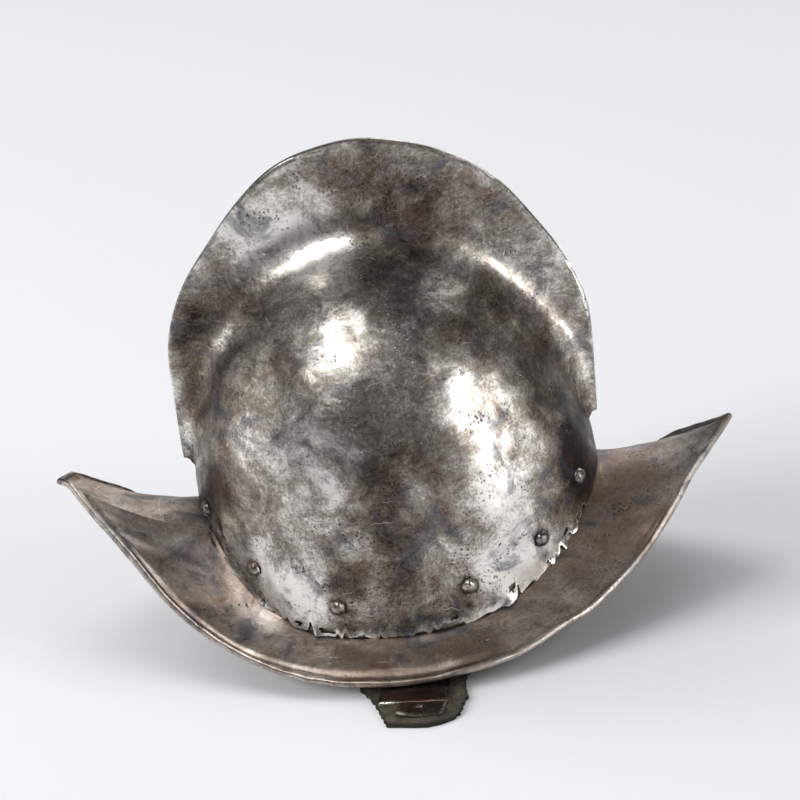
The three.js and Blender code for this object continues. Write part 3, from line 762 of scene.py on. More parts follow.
class RivetSettings(bpy.types.PropertyGroup):
    """Sizes of the rivet heads, and how much they differ."""
    radius: FloatProperty(
        name="Radius", description="Radius of a head", unit="LENGTH", default=0.0043, min=0.001)
    height: FloatProperty(
        name="Height", description="Height of a head", unit="LENGTH", default=0.0036, min=0.0005)
    spread: FloatProperty(
        name="Spread", description="How much the heads differ in size", default=0.06, min=0)
    seed: IntProperty(name="Seed", description="Which set of differences is used", default=5)


def add_node(tree, kind, inputs=None, stops=None, **settings):
    """Adds one node, sets its properties and colour stops, and gives each input a value or a link."""
    node = tree.nodes.new(kind)
    for key, value in settings.items():
        setattr(node, key, value)
    for k, (position, colour) in enumerate(stops or ()):
        elements = node.color_ramp.elements
        stop = elements[k] if k < 2 else elements.new(position)
        stop.position, stop.color = position, colour
    for key, value in (inputs or {}).items():
        socket = node.inputs[key]
        if isinstance(value, bpy.types.NodeSocket):
            tree.links.new(value, socket)
        elif isinstance(value, bpy.types.Node):
            tree.links.new(value.outputs[0], socket)
        else:
            socket.default_value = value
    return node


def rivet_tree(material):
    """Geometry nodes: a hammered dome on every point, turned to the point's outward direction."""
    tree = bpy.data.node_groups.new("Rivet heads", "GeometryNodeTree")
    face = tree.interface
    face.new_socket("Geometry", in_out="INPUT", socket_type="NodeSocketGeometry")
    for name in ("Radius", "Height", "Spread"):
        face.new_socket(name, in_out="INPUT", socket_type="NodeSocketFloat")
    face.new_socket("Seed", in_out="INPUT", socket_type="NodeSocketInt")
    face.new_socket("Geometry", in_out="OUTPUT", socket_type="NodeSocketGeometry")
    given = tree.nodes.new("NodeGroupInput")
    add = partial(add_node, tree)
    sphere = add("GeometryNodeMeshUVSphere", {"Segments": 32, "Rings": 20, "Radius": 1.0})
    place = add("GeometryNodeInputPosition")
    split = add("ShaderNodeSeparateXYZ", {0: place})
    above = add("ShaderNodeMath", {0: split.outputs["Z"], 1: 0.0}, operation="MAXIMUM")
    below = add("ShaderNodeMath", {0: split.outputs["Z"], 1: 0.0}, operation="MINIMUM")
    foot = add("ShaderNodeMath", {0: below, 1: 0.25}, operation="MULTIPLY")
    high = add("ShaderNodeMath", {0: above, 1: foot}, operation="ADD")
    wave = add("ShaderNodeTexNoise", {"Vector": place, "Scale": 1.6, "Detail": 2.0})
    push = add("ShaderNodeMath", {0: wave.outputs[0], 1: 0.5}, operation="SUBTRACT")
    push = add("ShaderNodeMath", {0: push, 1: 0.22}, operation="MULTIPLY")
    flat = add("ShaderNodeCombineXYZ", {
        "X": split.outputs["X"], "Y": split.outputs["Y"], "Z": high})
    bulge = add("ShaderNodeVectorMath", {0: flat, "Scale": push}, operation="SCALE")
    lump = add("ShaderNodeVectorMath", {0: flat, 1: bulge}, operation="ADD")
    dome = add("GeometryNodeSetPosition", {"Geometry": sphere, "Position": lump})
    size = add("ShaderNodeCombineXYZ", {
        "X": given.outputs["Radius"], "Y": given.outputs["Radius"], "Z": given.outputs["Height"]})
    sized = add("GeometryNodeTransform", {"Geometry": dome, "Scale": size})
    shank = add("GeometryNodeMeshCylinder", {
        "Vertices": 12, "Radius": SHANK_RADIUS, "Depth": SHANK_LENGTH})
    shank = add("GeometryNodeTransform", {
        "Geometry": shank, "Translation": (0.0, 0.0, SHANK_MIDDLE)})
    tail = add("GeometryNodeTransform", {
        "Geometry": sphere, "Translation": (0.0, 0.0, TAIL_MIDDLE), "Scale": TAIL_RADII})
    whole = add("GeometryNodeJoinGeometry")
    for part in (sized, shank, tail):
        tree.links.new(part.outputs[0], whole.inputs[0])
    rounded = add("GeometryNodeSetShadeSmooth", {"Geometry": whole})
    outward = add("GeometryNodeInputNamedAttribute", {"Name": "outward"}, data_type="FLOAT_VECTOR")
    turned = add("FunctionNodeAlignRotationToVector", {"Vector": outward.outputs[0]}, axis="Z")
    spin = add("FunctionNodeRandomValue", {
        2: 0.0, 3: 2 * math.pi, "Seed": given.outputs["Seed"]}, data_type="FLOAT")
    about = add("ShaderNodeCombineXYZ", {"Z": spin.outputs[1]})
    rotation = add("FunctionNodeRotateRotation", {
        "Rotation": turned, "Rotate By": about}, rotation_space="LOCAL")
    least = add("ShaderNodeMath", {0: 1.0, 1: given.outputs["Spread"]}, operation="SUBTRACT")
    most = add("ShaderNodeMath", {0: 1.0, 1: given.outputs["Spread"]}, operation="ADD")
    scale = add("FunctionNodeRandomValue", {
        2: least, 3: most, "Seed": given.outputs["Seed"]}, data_type="FLOAT")
    heads = add("GeometryNodeInstanceOnPoints", {
        "Points": given.outputs["Geometry"], "Instance": rounded,
        "Rotation": rotation, "Scale": scale.outputs[1]})
    real = add("GeometryNodeRealizeInstances", {"Geometry": heads})
    finished = add("GeometryNodeSetMaterial", {"Geometry": real, "Material": material})
    tree.links.new(finished.outputs[0], tree.nodes.new("NodeGroupOutput").inputs[0])
    return tree


def riveted(name, seats, outward, settings, material):
    """A plain mesh of rivet heads: the node tree's result at the given seats."""
    mesh = bpy.data.meshes.new(name + "_points")
    mesh.from_pydata([tuple(seat) for seat in seats], [], [])
    layer = mesh.attributes.new("outward", "FLOAT_VECTOR", "POINT")
    layer.data.foreach_set("vector", np.asarray(outward, dtype=np.float32).ravel())
    points = bpy.data.objects.new(name + "_points", mesh)
    bpy.context.collection.objects.link(points)
    tree = rivet_tree(material)
    modifier = points.modifiers.new("Rivet heads", "NODES")
    modifier.node_group = tree
    values = {"Radius": settings.radius, "Height": settings.height,
              "Spread": settings.spread, "Seed": settings.seed}
    for item in tree.interface.items_tree:
        if item.in_out == "INPUT" and item.name in values:
            modifier[item.identifier] = values[item.name]
    graph = bpy.context.evaluated_depsgraph_get()
    made = bpy.data.meshes.new_from_object(points.evaluated_get(graph), depsgraph=graph)
    made.name = name
    heads = bpy.data.objects.new(name, made)
    bpy.context.collection.objects.link(heads)
    points.modifiers.clear()
    bpy.data.objects.remove(points)
    if not made.polygons:
        raise RuntimeError("no rivet heads were made")
    return heads


class MORION_OT_rivets(bpy.types.Operator):
    """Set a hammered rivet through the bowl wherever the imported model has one"""
    bl_idname = "morion.rivets"
    bl_label = "Rivets"

    def execute(self, context):
        settings = context.scene.morion.rivets
        steel = worn_steel("Rivet steel, rubbed bright", context.scene.morion.steel, RIVET_FINISH)
        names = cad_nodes("rivet_")
        seats = rivet_seats()
        _, outward = slope_of(seats, np.zeros(len(seats), dtype=bool))
        rivets = riveted("rivets", seats, outward, settings, steel)
        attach(rivets, "root")
        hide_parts(*names)
        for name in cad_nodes("lame_rivet_"):
            paint_node(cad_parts[name], steel)
        return {"FINISHED"}


def rivet_seats():
    """Where the rivets stand on the bowl's outer face."""
    boxes = [np.array(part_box(name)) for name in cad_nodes("rivet_")]
    middles = np.array([corners.mean(axis=0) for corners in boxes])
    return settled(middles, 0.0, np.zeros(len(middles), dtype=bool))


def rivet_shadow_rings(points):
    """A painted contact shadow in a ring around each rivet head."""
    near = np.full(len(points), 1.0)
    for seat in rivet_seats():
        near = np.minimum(near, np.linalg.norm(points - seat, axis=1))
    return np.exp(-(((near - RING_RADIUS) / RING_WIDTH) ** 2))


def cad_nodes(start):
    """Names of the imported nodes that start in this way."""
    return [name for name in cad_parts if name.startswith(start)]


def paint_node(node, material):
    """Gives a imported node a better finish; its shape stays as it is."""
    if not node.material_slots:
        raise RuntimeError(f"{node.name} has no material slot")
    for slot in node.material_slots:
        slot.material = material


# ---- Finishes ---------------------------------------------------------------------------------

class SteelSettings(bpy.types.PropertyGroup):
    """Colours of the steel, from rubbed to stained."""
    rubbed: FloatVectorProperty(
        name="Rubbed", description="Colour where the steel is rubbed bright", subtype="COLOR",
        default=linear("#efebe4")[:3], min=0, max=1)
    grey: FloatVectorProperty(
        name="Grey", description="Colour of the plain old steel", subtype="COLOR",
        default=linear("#9c958c")[:3], min=0, max=1)
    patina: FloatVectorProperty(
        name="Patina", description="Colour of the brown patina", subtype="COLOR",
        default=linear("#6c6157")[:3], min=0, max=1)
    stain: FloatVectorProperty(
        name="Stain", description="Colour of the dark stains", subtype="COLOR",
        default=linear("#2f2b29")[:3], min=0, max=1)


# Worn steel: how strongly its tones differ, size in metres of the patina clouds and of the mottling in
# them, how far the tone leans to the rubbed metal, roughness where it is rubbed and where it is dull, the
# depth of the pits and of the hammer marks in millimetres, the strength of the rust's tint, and how far the
# whole colour is warmed to brown.
SKULL_FINISH = dict(contrast=1.0, cloud=0.034, mottle=0.0085, lean=0.04, shiny=0.30, dull=0.44, pits=0.30,
                    hammer=0.38, rust=0.42, warm=0.0)
BRIM_FINISH = dict(contrast=0.6, cloud=0.046, mottle=0.011, lean=0.09, shiny=0.38, dull=0.47, pits=0.10,
                   hammer=0.30, rust=0.60, warm=0.42)
RIVET_FINISH = dict(contrast=1.0, cloud=0.006, mottle=0.002, lean=0.0, shiny=0.27, dull=0.42, pits=0.10,
                    hammer=0.20, rust=0.30, warm=0.0)
LAME_FINISH = dict(contrast=1.0, cloud=0.016, mottle=0.004, lean=-0.08, shiny=0.24, dull=0.36, pits=0.10,
                   hammer=0.30, rust=0.60, warm=0.2)


def bare_material(name):
    """A new material and its emptied node tree."""
    material = bpy.data.materials.new(name)
    material.use_nodes = True
    material.node_tree.nodes.clear()
    return material, material.node_tree


def worn_steel(name, settings, finish):
    """Old forged steel: rubbed bright on its high places, with brown patina between them and blue-black
    stains. To the eye it is grey-brown metal with soft, broken highlights, never an even mirror."""
    material, tree = bare_material(name)
    add = partial(add_node, tree)
    place = add("ShaderNodeTexCoord").outputs["Object"]
    lie = add("ShaderNodeAttribute", attribute_name="lie").outputs["Vector"]
    shade = {}
    for key in ("worn", "stain_and_shade", "inside", "edge", "grime_and_shade"):
        shade[key] = add("ShaderNodeAttribute", attribute_name=key).outputs["Fac"]

    cloud = add("ShaderNodeTexNoise", {
        "Vector": place, "Scale": 1 / finish["cloud"], "Detail": 8.0, "Roughness": 0.62, "Distortion": 1.1})
    mottle = add("ShaderNodeTexNoise", {
        "Vector": place, "Scale": 1 / finish["mottle"], "Detail": 9.0, "Roughness": 0.82, "Distortion": 0.5})
    grain = add("ShaderNodeTexNoise", {
        "Vector": place, "Scale": 1 / (1.3 * MM), "Detail": 4.0, "Roughness": 0.65})
    # Polishing strokes about 2 mm wide, along the sheet and slanting across it.
    sway = add("ShaderNodeTexNoise", {"Vector": place, "Scale": 1 / (26 * MM), "Detail": 2.0})
    swayed = add("ShaderNodeVectorMath", {0: sway.outputs["Color"], "Scale": 0.030}, operation="SCALE")
    swayed = add("ShaderNodeVectorMath", {0: lie, 1: swayed}, operation="ADD")
    along = add("ShaderNodeMapping", {"Vector": swayed, "Scale": (0.09, 1.0, 1.0)})
    slant = add("ShaderNodeMapping", {
        "Vector": swayed, "Rotation": (0.0, 0.0, 0.75), "Scale": (1.0, 0.12, 1.0)})
    stroke = add("ShaderNodeTexNoise", {
        "Vector": along, "Scale": 1 / (2.2 * MM), "Detail": 5.0, "Roughness": 0.62, "Distortion": 0.6})
    cross = add("ShaderNodeTexNoise", {
        "Vector": slant, "Scale": 1 / (1.5 * MM), "Detail": 4.0, "Roughness": 0.65, "Distortion": 0.4})
    # Tone, from stained through brown and grey to rubbed bright.
    # Besides stains and wear, these shades carry painted light: highlights on the lames and under the strip
    # light, shade on the lames, and a shadow round each rivet head.
    fields = [
        (cloud, 1.05, 0.5), (mottle, 0.68, 0.5), (stroke, 0.44, 0.5), (cross, 0.30, 0.5), (grain, 0.46, 0.5),
        (shade["worn"], 0.26, 0.0), (shade["stain_and_shade"], -0.30, 0.0), (shade["edge"], 0.16, 0.0),
        (shade["inside"], -0.20, 0.0), (shade["grime_and_shade"], -0.25, 0.0),
    ]
    contrast = finish["contrast"]
    tone = 0.5 + finish["lean"] - contrast * sum(weight * middle for _, weight, middle in fields)
    for field, weight, _ in fields:
        tone = add("ShaderNodeMath", {0: field, 1: contrast * weight, 2: tone}, operation="MULTIPLY_ADD")
    rubbed, grey, brown, black = [
        (*colour, 1.0) for colour in (settings.rubbed, settings.grey, settings.patina, settings.stain)]
    base = add("ShaderNodeValToRGB", {"Fac": tone},
               stops=[(0.08, black), (0.34, brown), (0.56, grey), (0.82, rubbed)])
    warmed = add("ShaderNodeMix", {
        "Factor": finish["warm"], 6: base.outputs["Color"], 7: linear("#7c604e")}, data_type="RGBA")
    colour = warmed.outputs[2]
    # Tints in the patina: steel blue, and a little rust.
    for tint, size, low, high, share in (
            ("#464c5a", 0.024, 0.50, 0.66, 0.66), ("#6c4a38", 0.012, 0.52, 0.70, finish["rust"])):
        patch = add("ShaderNodeTexNoise", {
            "Vector": place, "Scale": 1 / size, "Detail": 8.0, "Roughness": 0.68, "Distortion": 1.0})
        amount = add("ShaderNodeMapRange", {
            "Value": patch, "From Min": low, "From Max": high, "To Max": share},
            interpolation_type="SMOOTHSTEP")
        tinted = add("ShaderNodeMix", {"Factor": amount, 6: colour, 7: linear(tint)}, data_type="RGBA")
        colour = tinted.outputs[2]
    # Pits about 1 mm wide, which gather in some places, and scratches that show bare metal.
    shaken = add("ShaderNodeMix", {"Factor": 0.0012, 4: place, 5: mottle.outputs["Color"]},
                 data_type="VECTOR")
    cell = add("ShaderNodeTexVoronoi", {"Vector": shaken.outputs[1], "Scale": 1 / (2.1 * MM)})
    crowd = add("ShaderNodeTexNoise", {"Vector": place, "Scale": 1 / (13 * MM), "Detail": 4.0})
    crowd = add("ShaderNodeMath", {0: shade["stain_and_shade"], 1: 0.10, 2: crowd}, operation="MULTIPLY_ADD")
    crowd = add("ShaderNodeMath", {0: shade["worn"], 1: 0.06, 2: crowd}, operation="MULTIPLY_ADD")
    reach = add("ShaderNodeMapRange", {
        "Value": crowd, "From Min": 0.46, "From Max": 0.70, "To Min": 0.0, "To Max": 0.38})
    pits = add("ShaderNodeMath", {0: reach, 1: cell.outputs["Distance"]}, operation="SUBTRACT")
    pits = add("ShaderNodeMapRange", {"Value": pits, "From Min": 0.0, "From Max": 0.16})
    thin = add("ShaderNodeMapping", {
        "Vector": lie, "Rotation": (0.0, 0.0, -0.35), "Scale": (0.060, 1.0, 1.0)})
    scratch = add("ShaderNodeTexNoise", {"Vector": thin, "Scale": 1 / (1.3 * MM), "Detail": 2.5})
    scratch = add("ShaderNodeMapRange", {"Value": scratch, "From Min": 0.67, "From Max": 0.74})
    bare = add("ShaderNodeMath", {0: scratch, 1: 0.40}, operation="MULTIPLY")
    colour = add("ShaderNodeMix", {"Factor": bare, 6: colour, 7: rubbed}, data_type="RGBA").outputs[2]
    sunk = add("ShaderNodeMath", {0: pits, 1: 0.75}, operation="MULTIPLY")
    colour = add("ShaderNodeMix", {"Factor": sunk, 6: colour, 7: black}, data_type="RGBA").outputs[2]
    # Grime and painted shade: darker along the seam, a painted shadow round each rivet head, and dark spots;
    # matt, so it hardly reflects.
    crumb = add("ShaderNodeTexNoise", {
        "Vector": place, "Scale": 1 / (3 * MM), "Detail": 6.0, "Roughness": 0.7})
    grime_and_shade_mask = add("ShaderNodeMath", {0: shade["grime_and_shade"], 1: crumb}, operation="MULTIPLY")
    grime_and_shade_mask = add("ShaderNodeMapRange", {"Value": grime_and_shade_mask, "From Min": 0.30, "From Max": 0.52},
                interpolation_type="SMOOTHSTEP")
    colour = add("ShaderNodeMix", {"Factor": grime_and_shade_mask, 6: colour, 7: linear("#1e1813")},
                 data_type="RGBA").outputs[2]
    metal = add("ShaderNodeMath", {0: grime_and_shade_mask, 1: -0.75, 2: 1.0}, operation="MULTIPLY_ADD")
    rough = add("ShaderNodeMapRange", {
        "Value": tone, "From Min": 0.25, "From Max": 0.75,
        "To Min": finish["dull"], "To Max": finish["shiny"]})
    for field, weight, middle in ((stroke, 0.22, 0.5), (grain, 0.16, 0.5), (grime_and_shade_mask, 0.25, 0.0)):
        rough = add("ShaderNodeMath", {0: field, 1: weight, 2: rough}, operation="MULTIPLY_ADD")
        rough = add("ShaderNodeMath", {0: rough, 1: weight * middle}, operation="SUBTRACT")
    # Relief in millimetres.
    hammer = add("ShaderNodeTexNoise", {
        "Vector": place, "Scale": 1 / (11 * MM), "Detail": 2.0, "Roughness": 0.45})
    relief = 0.0
    for field, depth in (
            (hammer, finish["hammer"]), (mottle, 0.12), (grain, 0.035), (stroke, 0.11), (cross, 0.07),
            (scratch, -0.04), (pits, -finish["pits"])):
        relief = add("ShaderNodeMath", {0: field, 1: depth, 2: relief}, operation="MULTIPLY_ADD")
    bump = add("ShaderNodeBump", {"Strength": 0.5, "Distance": 1.0 * MM, "Height": relief})
    shader = add("ShaderNodeBsdfPrincipled", {
        "Base Color": colour, "Metallic": metal, "Roughness": rough, "Normal": bump})
    add("ShaderNodeOutputMaterial", {"Surface": shader})
    return material


# ---- Cheek-pieces -----------------------------------------------------------------------------

class CheekSettings(bpy.types.PropertyGroup):
    """Sizes and colours of the cheek-pieces."""
    thickness: FloatProperty(
        name="Flap thickness", description="Cloth and leather together", unit="LENGTH",
        default=0.0022, min=0.001)
    lame: FloatProperty(
        name="Lame thickness", description="Thickness of a lame", unit="LENGTH", default=0.0011, min=0.0005)
    cloth: FloatVectorProperty(
        name="Cloth", description="Colour of the cloth", subtype="COLOR",
        default=linear("#292619")[:3], min=0, max=1)


def wool_cloth(settings):
    """Old fulled wool cloth, dyed green and gone brown: matt and fibrous, paler where it is rubbed."""
    material, tree = bare_material("Fulled wool cloth, faded green")
    add = partial(add_node, tree)
    place = add("ShaderNodeTexCoord").outputs["Object"]
    edge = add("ShaderNodeAttribute", attribute_name="edge").outputs["Fac"]
    base = (*settings.cloth, 1.0)
    cloud = add("ShaderNodeTexNoise", {
        "Vector": place, "Scale": 1 / (6 * MM), "Detail": 6.0, "Roughness": 0.75})
    fibre_place = add("ShaderNodeMapping", {"Vector": place, "Scale": (1.0, 0.35, 1.0)})
    fibre = add("ShaderNodeTexNoise", {
        "Vector": fibre_place, "Scale": 1 / (1.6 * MM), "Detail": 5.0, "Roughness": 0.8, "Distortion": 1.5})
    faded = add("ShaderNodeMapRange", {"Value": cloud, "From Min": 0.40, "From Max": 0.62})
    colour = add("ShaderNodeMix", {
        "Factor": faded, 6: base, 7: linear("#544d39")}, data_type="RGBA")
    colour = add("ShaderNodeMix", {
        "Factor": edge, 6: colour.outputs[2], 7: linear("#1f1c12")}, data_type="RGBA")
    lit = add("ShaderNodeMapRange", {
        "Value": fibre, "From Min": 0.34, "From Max": 0.66, "To Min": 0.30, "To Max": 1.60})
    toned = add("ShaderNodeVectorMath", {
        0: colour.outputs[2], "Scale": lit.outputs[0]}, operation="SCALE")
    relief = add("ShaderNodeMath", {0: cloud, 1: 0.6, 2: fibre}, operation="MULTIPLY_ADD")
    bump = add("ShaderNodeBump", {"Strength": 0.9, "Distance": 0.8 * MM, "Height": relief})
    shader = add("ShaderNodeBsdfPrincipled", {
        "Base Color": toned, "Roughness": 0.92, "Normal": bump,
        "Sheen Weight": 0.08, "Sheen Roughness": 0.5})
    add("ShaderNodeOutputMaterial", {"Surface": shader})
    return material


# The flap's rows, from its root on the bowl to its free end: how far the row stands out from the wall,
# its height, the tilt of its outer face in degrees, and its back and front edges, all but the tilt in mm.
FLAP_ROOT_ROWS = [
    (0, 53, 0, -47, 39), (0, 38, 0, -47, 39), (0, 24, 0, -44, 36), (0.4, 14, 12, -41, 34),
    (3.6, 5.6, 42, -38, 32), (10, 1.9, 75, -35, 30),
]
FLAP_GROUND_ROWS = [(104, -31, 22), (113, -27, 21.6), (124, -24, 22.2), (132, -22.2, 19.2)]
FLAP_END_ROWS = [
    ((140, 141.5, 143, 142.6, 141.8, 140.4), -20.6, 17.4),
    ((145.9, 147.8, 149.6, 150.8, 149.4, 145.5), -19.4, 13.7),
]
# The lames, in mm: centre, turn in degrees, half width, bow of the free edge, how far each row's ends are
# drawn down, the share of the reach where the painted shade on the curled-down outer part begins, how
# bright the painted highlight on the rim is, and the rows of reach and height.
LAMES = {
    "upper": dict(
        x=-3, y=109, turn=9, half=17.2, bow=0, sag=0.25, black=0.46, rim=0.3,
        rows=[(-6, 3.4), (-3, 3.85), (0, 4.25), (3, 4.55), (6, 4.75), (9.5, 4.95), (13, 5.0), (15.5, 4.85),
              (17.5, 4.45), (19, 3.85), (19.8, 3.2)]),
    "lower": dict(
        x=-0.2, y=125.5, turn=13, half=12.2, bow=2.4, sag=0.1, black=2.0, rim=1.2,
        rows=[(-2, 3.05), (2, 3.12), (5, 3.18), (8, 3.24), (11, 3.25), (13.5, 3.2), (15.5, 3.05)]),
}
# Columns in the flap's charted rows, the steps put between rows and columns, the rows over which the
# cloth's waves set in where it lies on the floor, and the points across a lame.
FLAP_COLUMNS = 6
FLAP_STEPS = (10, 8)
WAVES_SET_IN = (60, 75)
LAME_POINTS = 33


class MORION_OT_cheek_pieces(bpy.types.Operator):
    """Build both cheek-pieces: the cloth flap and its two lames"""
    bl_idname = "morion.cheek_pieces"
    bl_label = "Cheek-pieces"

    def execute(self, context):
        settings = context.scene.morion.cheek
        cloth = wool_cloth(settings)
        steel = worn_steel("Lame steel, brown-black", context.scene.morion.steel, LAME_FINISH)
        for side, name in ((-1, "right"), (1, "left")):
            flap = self.flap(f"flap_{name}", side, settings, cloth)
            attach(flap, "root")
            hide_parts(f"cheek_flap_{name}")
            for key, shape in LAMES.items():
                lame = self.lame(f"lame_{key}_{name}", side, shape, settings.lame, steel)
                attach(lame, "root")
                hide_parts(f"{key}_lame_{name}")
        return {"FINISHED"}

    def flap(self, name, side, settings, material):
        """One flap: its charted rows refined, given their thickness and cut a little uneven."""
        depth = WALL + GAP + BRIM_SHEET + GAP + settings.thickness / 2
        columns = np.linspace(0, 1, FLAP_COLUMNS)
        middles, tilts = [], []
        for out, z, tilt, back, front in FLAP_ROOT_ROWS:
            x = mix(back, front, columns) * MM
            y = -(BOWL_B - depth) * np.sqrt(1 - (x / (BOWL_A - depth)) ** 2) - out * MM
            middles.append(np.stack([x, y, np.full(FLAP_COLUMNS, z * MM)], axis=1))
            tilts.append(tilt)
        for y, back, front in [*FLAP_GROUND_ROWS, *FLAP_END_ROWS]:
            x = mix(back, front, columns) * MM
            row = [x, -np.array(y) * MM + 0 * x, np.full(FLAP_COLUMNS, settings.thickness / 2)]
            middles.append(np.stack(row, axis=1))
            tilts.append(90)
        grid = self.refined(np.array(middles), *FLAP_STEPS)
        tilt = np.interp(np.linspace(0, len(tilts) - 1, len(grid)), range(len(tilts)), tilts)
        turn = np.radians(tilt)[:, None]
        lean = (BOWL_B / BOWL_A) ** 2 * grid[..., 0] / -grid[..., 1] * np.cos(turn)
        facing = np.stack([lean, -np.cos(turn) + 0 * lean, np.sin(turn) + 0 * lean], axis=-1)
        facing /= np.linalg.norm(facing, axis=-1, keepdims=True)
        wave = uneven(grid * [1, side, 1], "flap")
        on_ground = smooth(np.arange(len(grid))[:, None] * 1.0, *WAVES_SET_IN)
        top = grid + facing * (settings.thickness / 2 + wave * on_ground)[..., None]
        bottom = grid - facing * settings.thickness / 2
        top, bottom = self.cut_edges(top, side), self.cut_edges(bottom, side)
        loops = np.concatenate([top, bottom[:, ::-1]], axis=1) * np.array([1, -side, 1])
        rows, size = loops.shape[:2]
        border = np.zeros((rows, size))
        half = size // 2
        border[:, [0, half - 1, half, size - 1]] = 1
        border[-2:] = 1
        return make_object(name, loops.reshape(-1, 3), self.capped(loops), material, sharp=45,
                           shades={"edge": border.reshape(-1)})

    def lame(self, name, side, shape, thickness, material):
        """A small arched plate with softened edges; its free edge may bow outwards."""
        across = np.linspace(-1, 1, LAME_POINTS)
        reach, height = np.array(shape["rows"]).T
        spread = np.linspace(0, 1, len(reach))[:, None] ** 4
        x = shape["half"] * across[None, :] + 0 * reach[:, None]
        y = reach[:, None] + shape["bow"] * spread * (1 - across[None, :] ** 2)
        z = height[:, None] - shape["sag"] * across[None, :] ** 4 + 0 * y
        turn = math.radians(shape["turn"])
        middle = np.stack([
            shape["x"] + x * math.cos(turn) - y * math.sin(turn),
            -shape["y"] - x * math.sin(turn) - y * math.cos(turn), z], axis=-1) * MM
        middle = self.refined(middle, 3, 1)
        middle[..., 2] += uneven(middle * [1, side, 1], "lame")
        half = np.full(middle.shape[:2], thickness / 2)
        near_edge = np.minimum(
            np.minimum(np.arange(len(middle))[:, None], np.arange(len(middle))[::-1, None]) / 1.5,
            np.minimum(np.arange(LAME_POINTS)[None, :], np.arange(LAME_POINTS)[None, ::-1]) / 1.0)
        half *= 0.45 + 0.55 * np.sqrt(np.clip(near_edge, 0, 1))
        offset = np.stack([0 * half, 0 * half, half], axis=-1)
        loops = np.concatenate([middle + offset, (middle - offset)[:, ::-1]], axis=1)
        along, reach_out = np.meshgrid(np.arange(2 * LAME_POINTS), np.arange(len(loops)))
        lie = np.stack([along * MM, reach_out * MM / 2, 0 * along], axis=-1)
        # Painted light: the rims and the lower-left end of the free edge (rubbed) are painted highlights,
        # and the rows past the black share are painted shade.
        share = np.linspace(0, 1, len(middle))[:, None]
        rubbed = np.exp(-(((across + 0.8) / 0.3) ** 2))[None, :] * smooth(share, 0.82, 0.92)
        fields = {
            "edge": (near_edge < 0.5) * (shape["rim"] + rubbed),
            "worn": 2.0 * rubbed,
            "stain_and_shade": 0.9 * smooth(share, shape["black"], shape["black"] + 0.08) * (1 - rubbed),
        }
        shades = {key: np.concatenate([field, field[:, ::-1]], axis=1).reshape(-1)
                  for key, field in fields.items()}
        shades["lie"] = lie.reshape(-1, 3)
        loops = loops * np.array([1, -side, 1])
        return make_object(name, loops.reshape(-1, 3), self.capped(loops), material, sharp=40, shades=shades)

    def capped(self, loops):
        """Faces of a plate whose rows run out along its top and back along its underside."""
        rows, size = loops.shape[:2]
        faces = loft_faces(rows, size, ring=False).tolist()
        last = (rows - 1) * size
        for j in range(size // 2 - 1):
            far = size - 1 - j
            faces.append([j, far, far - 1, j + 1])
            faces.append([last + j, last + j + 1, last + far - 1, last + far])
        return faces

    def refined(self, grid, down, across):
        """The rows and columns with straight steps put between them."""
        rows = np.linspace(0, len(grid) - 1, (len(grid) - 1) * down + 1)
        columns = np.linspace(0, grid.shape[1] - 1, (grid.shape[1] - 1) * across + 1)
        result = np.empty((len(rows), len(columns), 3))
        for axis in range(3):
            tall = np.array([np.interp(rows, range(len(grid)), line) for line in grid[..., axis].T])
            wide = [np.interp(columns, range(grid.shape[1]), line) for line in tall.T]
            result[..., axis] = np.array(wide)
        return result

    def cut_edges(self, face, side):
        """Moves the outline in and out a little, as a hand-cut edge is."""
        face = face.copy()
        count = face.shape[1]
        share = np.abs(np.linspace(-1, 1, count))[None, :] ** 6
        rows = np.arange(len(face))[:, None]
        jag = 0.0005 * np.sin(rows * 0.9 + 2 * side) + 0.0004 * np.sin(rows * 2.3 + side)
        face[..., 0] += jag * share * np.sign(np.linspace(-1, 1, count))[None, :]
        return face


# ---- Stage ------------------------------------------------------------------------------------

# Heights that the camera turns about and the lights face, and how far the camera aims off its middle.
CAMERA_MIDDLE = 0.089
LIGHT_MIDDLE = 0.12
AIM_RIGHT = 0.0027
AIM_UP = 0.0267
FLOOR_HALF = 4.0


class StageSettings(bpy.types.PropertyGroup):
    """Camera and light."""
    elevation: FloatProperty(
        name="Elevation", description="Camera's height above level, seen from the helmet", subtype="ANGLE",
        default=math.radians(22))
    roll: FloatProperty(
        name="Roll", description="Camera's roll about its own axis", subtype="ANGLE",
        default=math.radians(6.6))
    distance: FloatProperty(
        name="Distance", description="From the camera to the helmet's middle", unit="LENGTH", default=1.6)
    lens: FloatProperty(name="Lens", description="Focal length in millimetres", default=135.0, min=20)
    key: FloatProperty(name="Key light", description="Power of the left softbox", default=12.0, min=0)
    strip: FloatProperty(name="Strip light", description="Power of the right strip", default=10.5, min=0)
    wash: FloatProperty(
        name="Wash", description="Power of the lights that only matt surfaces see", default=392.0, min=0)
    room: FloatProperty(name="Room", description="Brightness of the room around", default=0.17, min=0)
    floor: FloatVectorProperty(
        name="Floor", description="Colour of the floor", subtype="COLOR", default=linear("#e6e7ea")[:3],
        min=0, max=1)


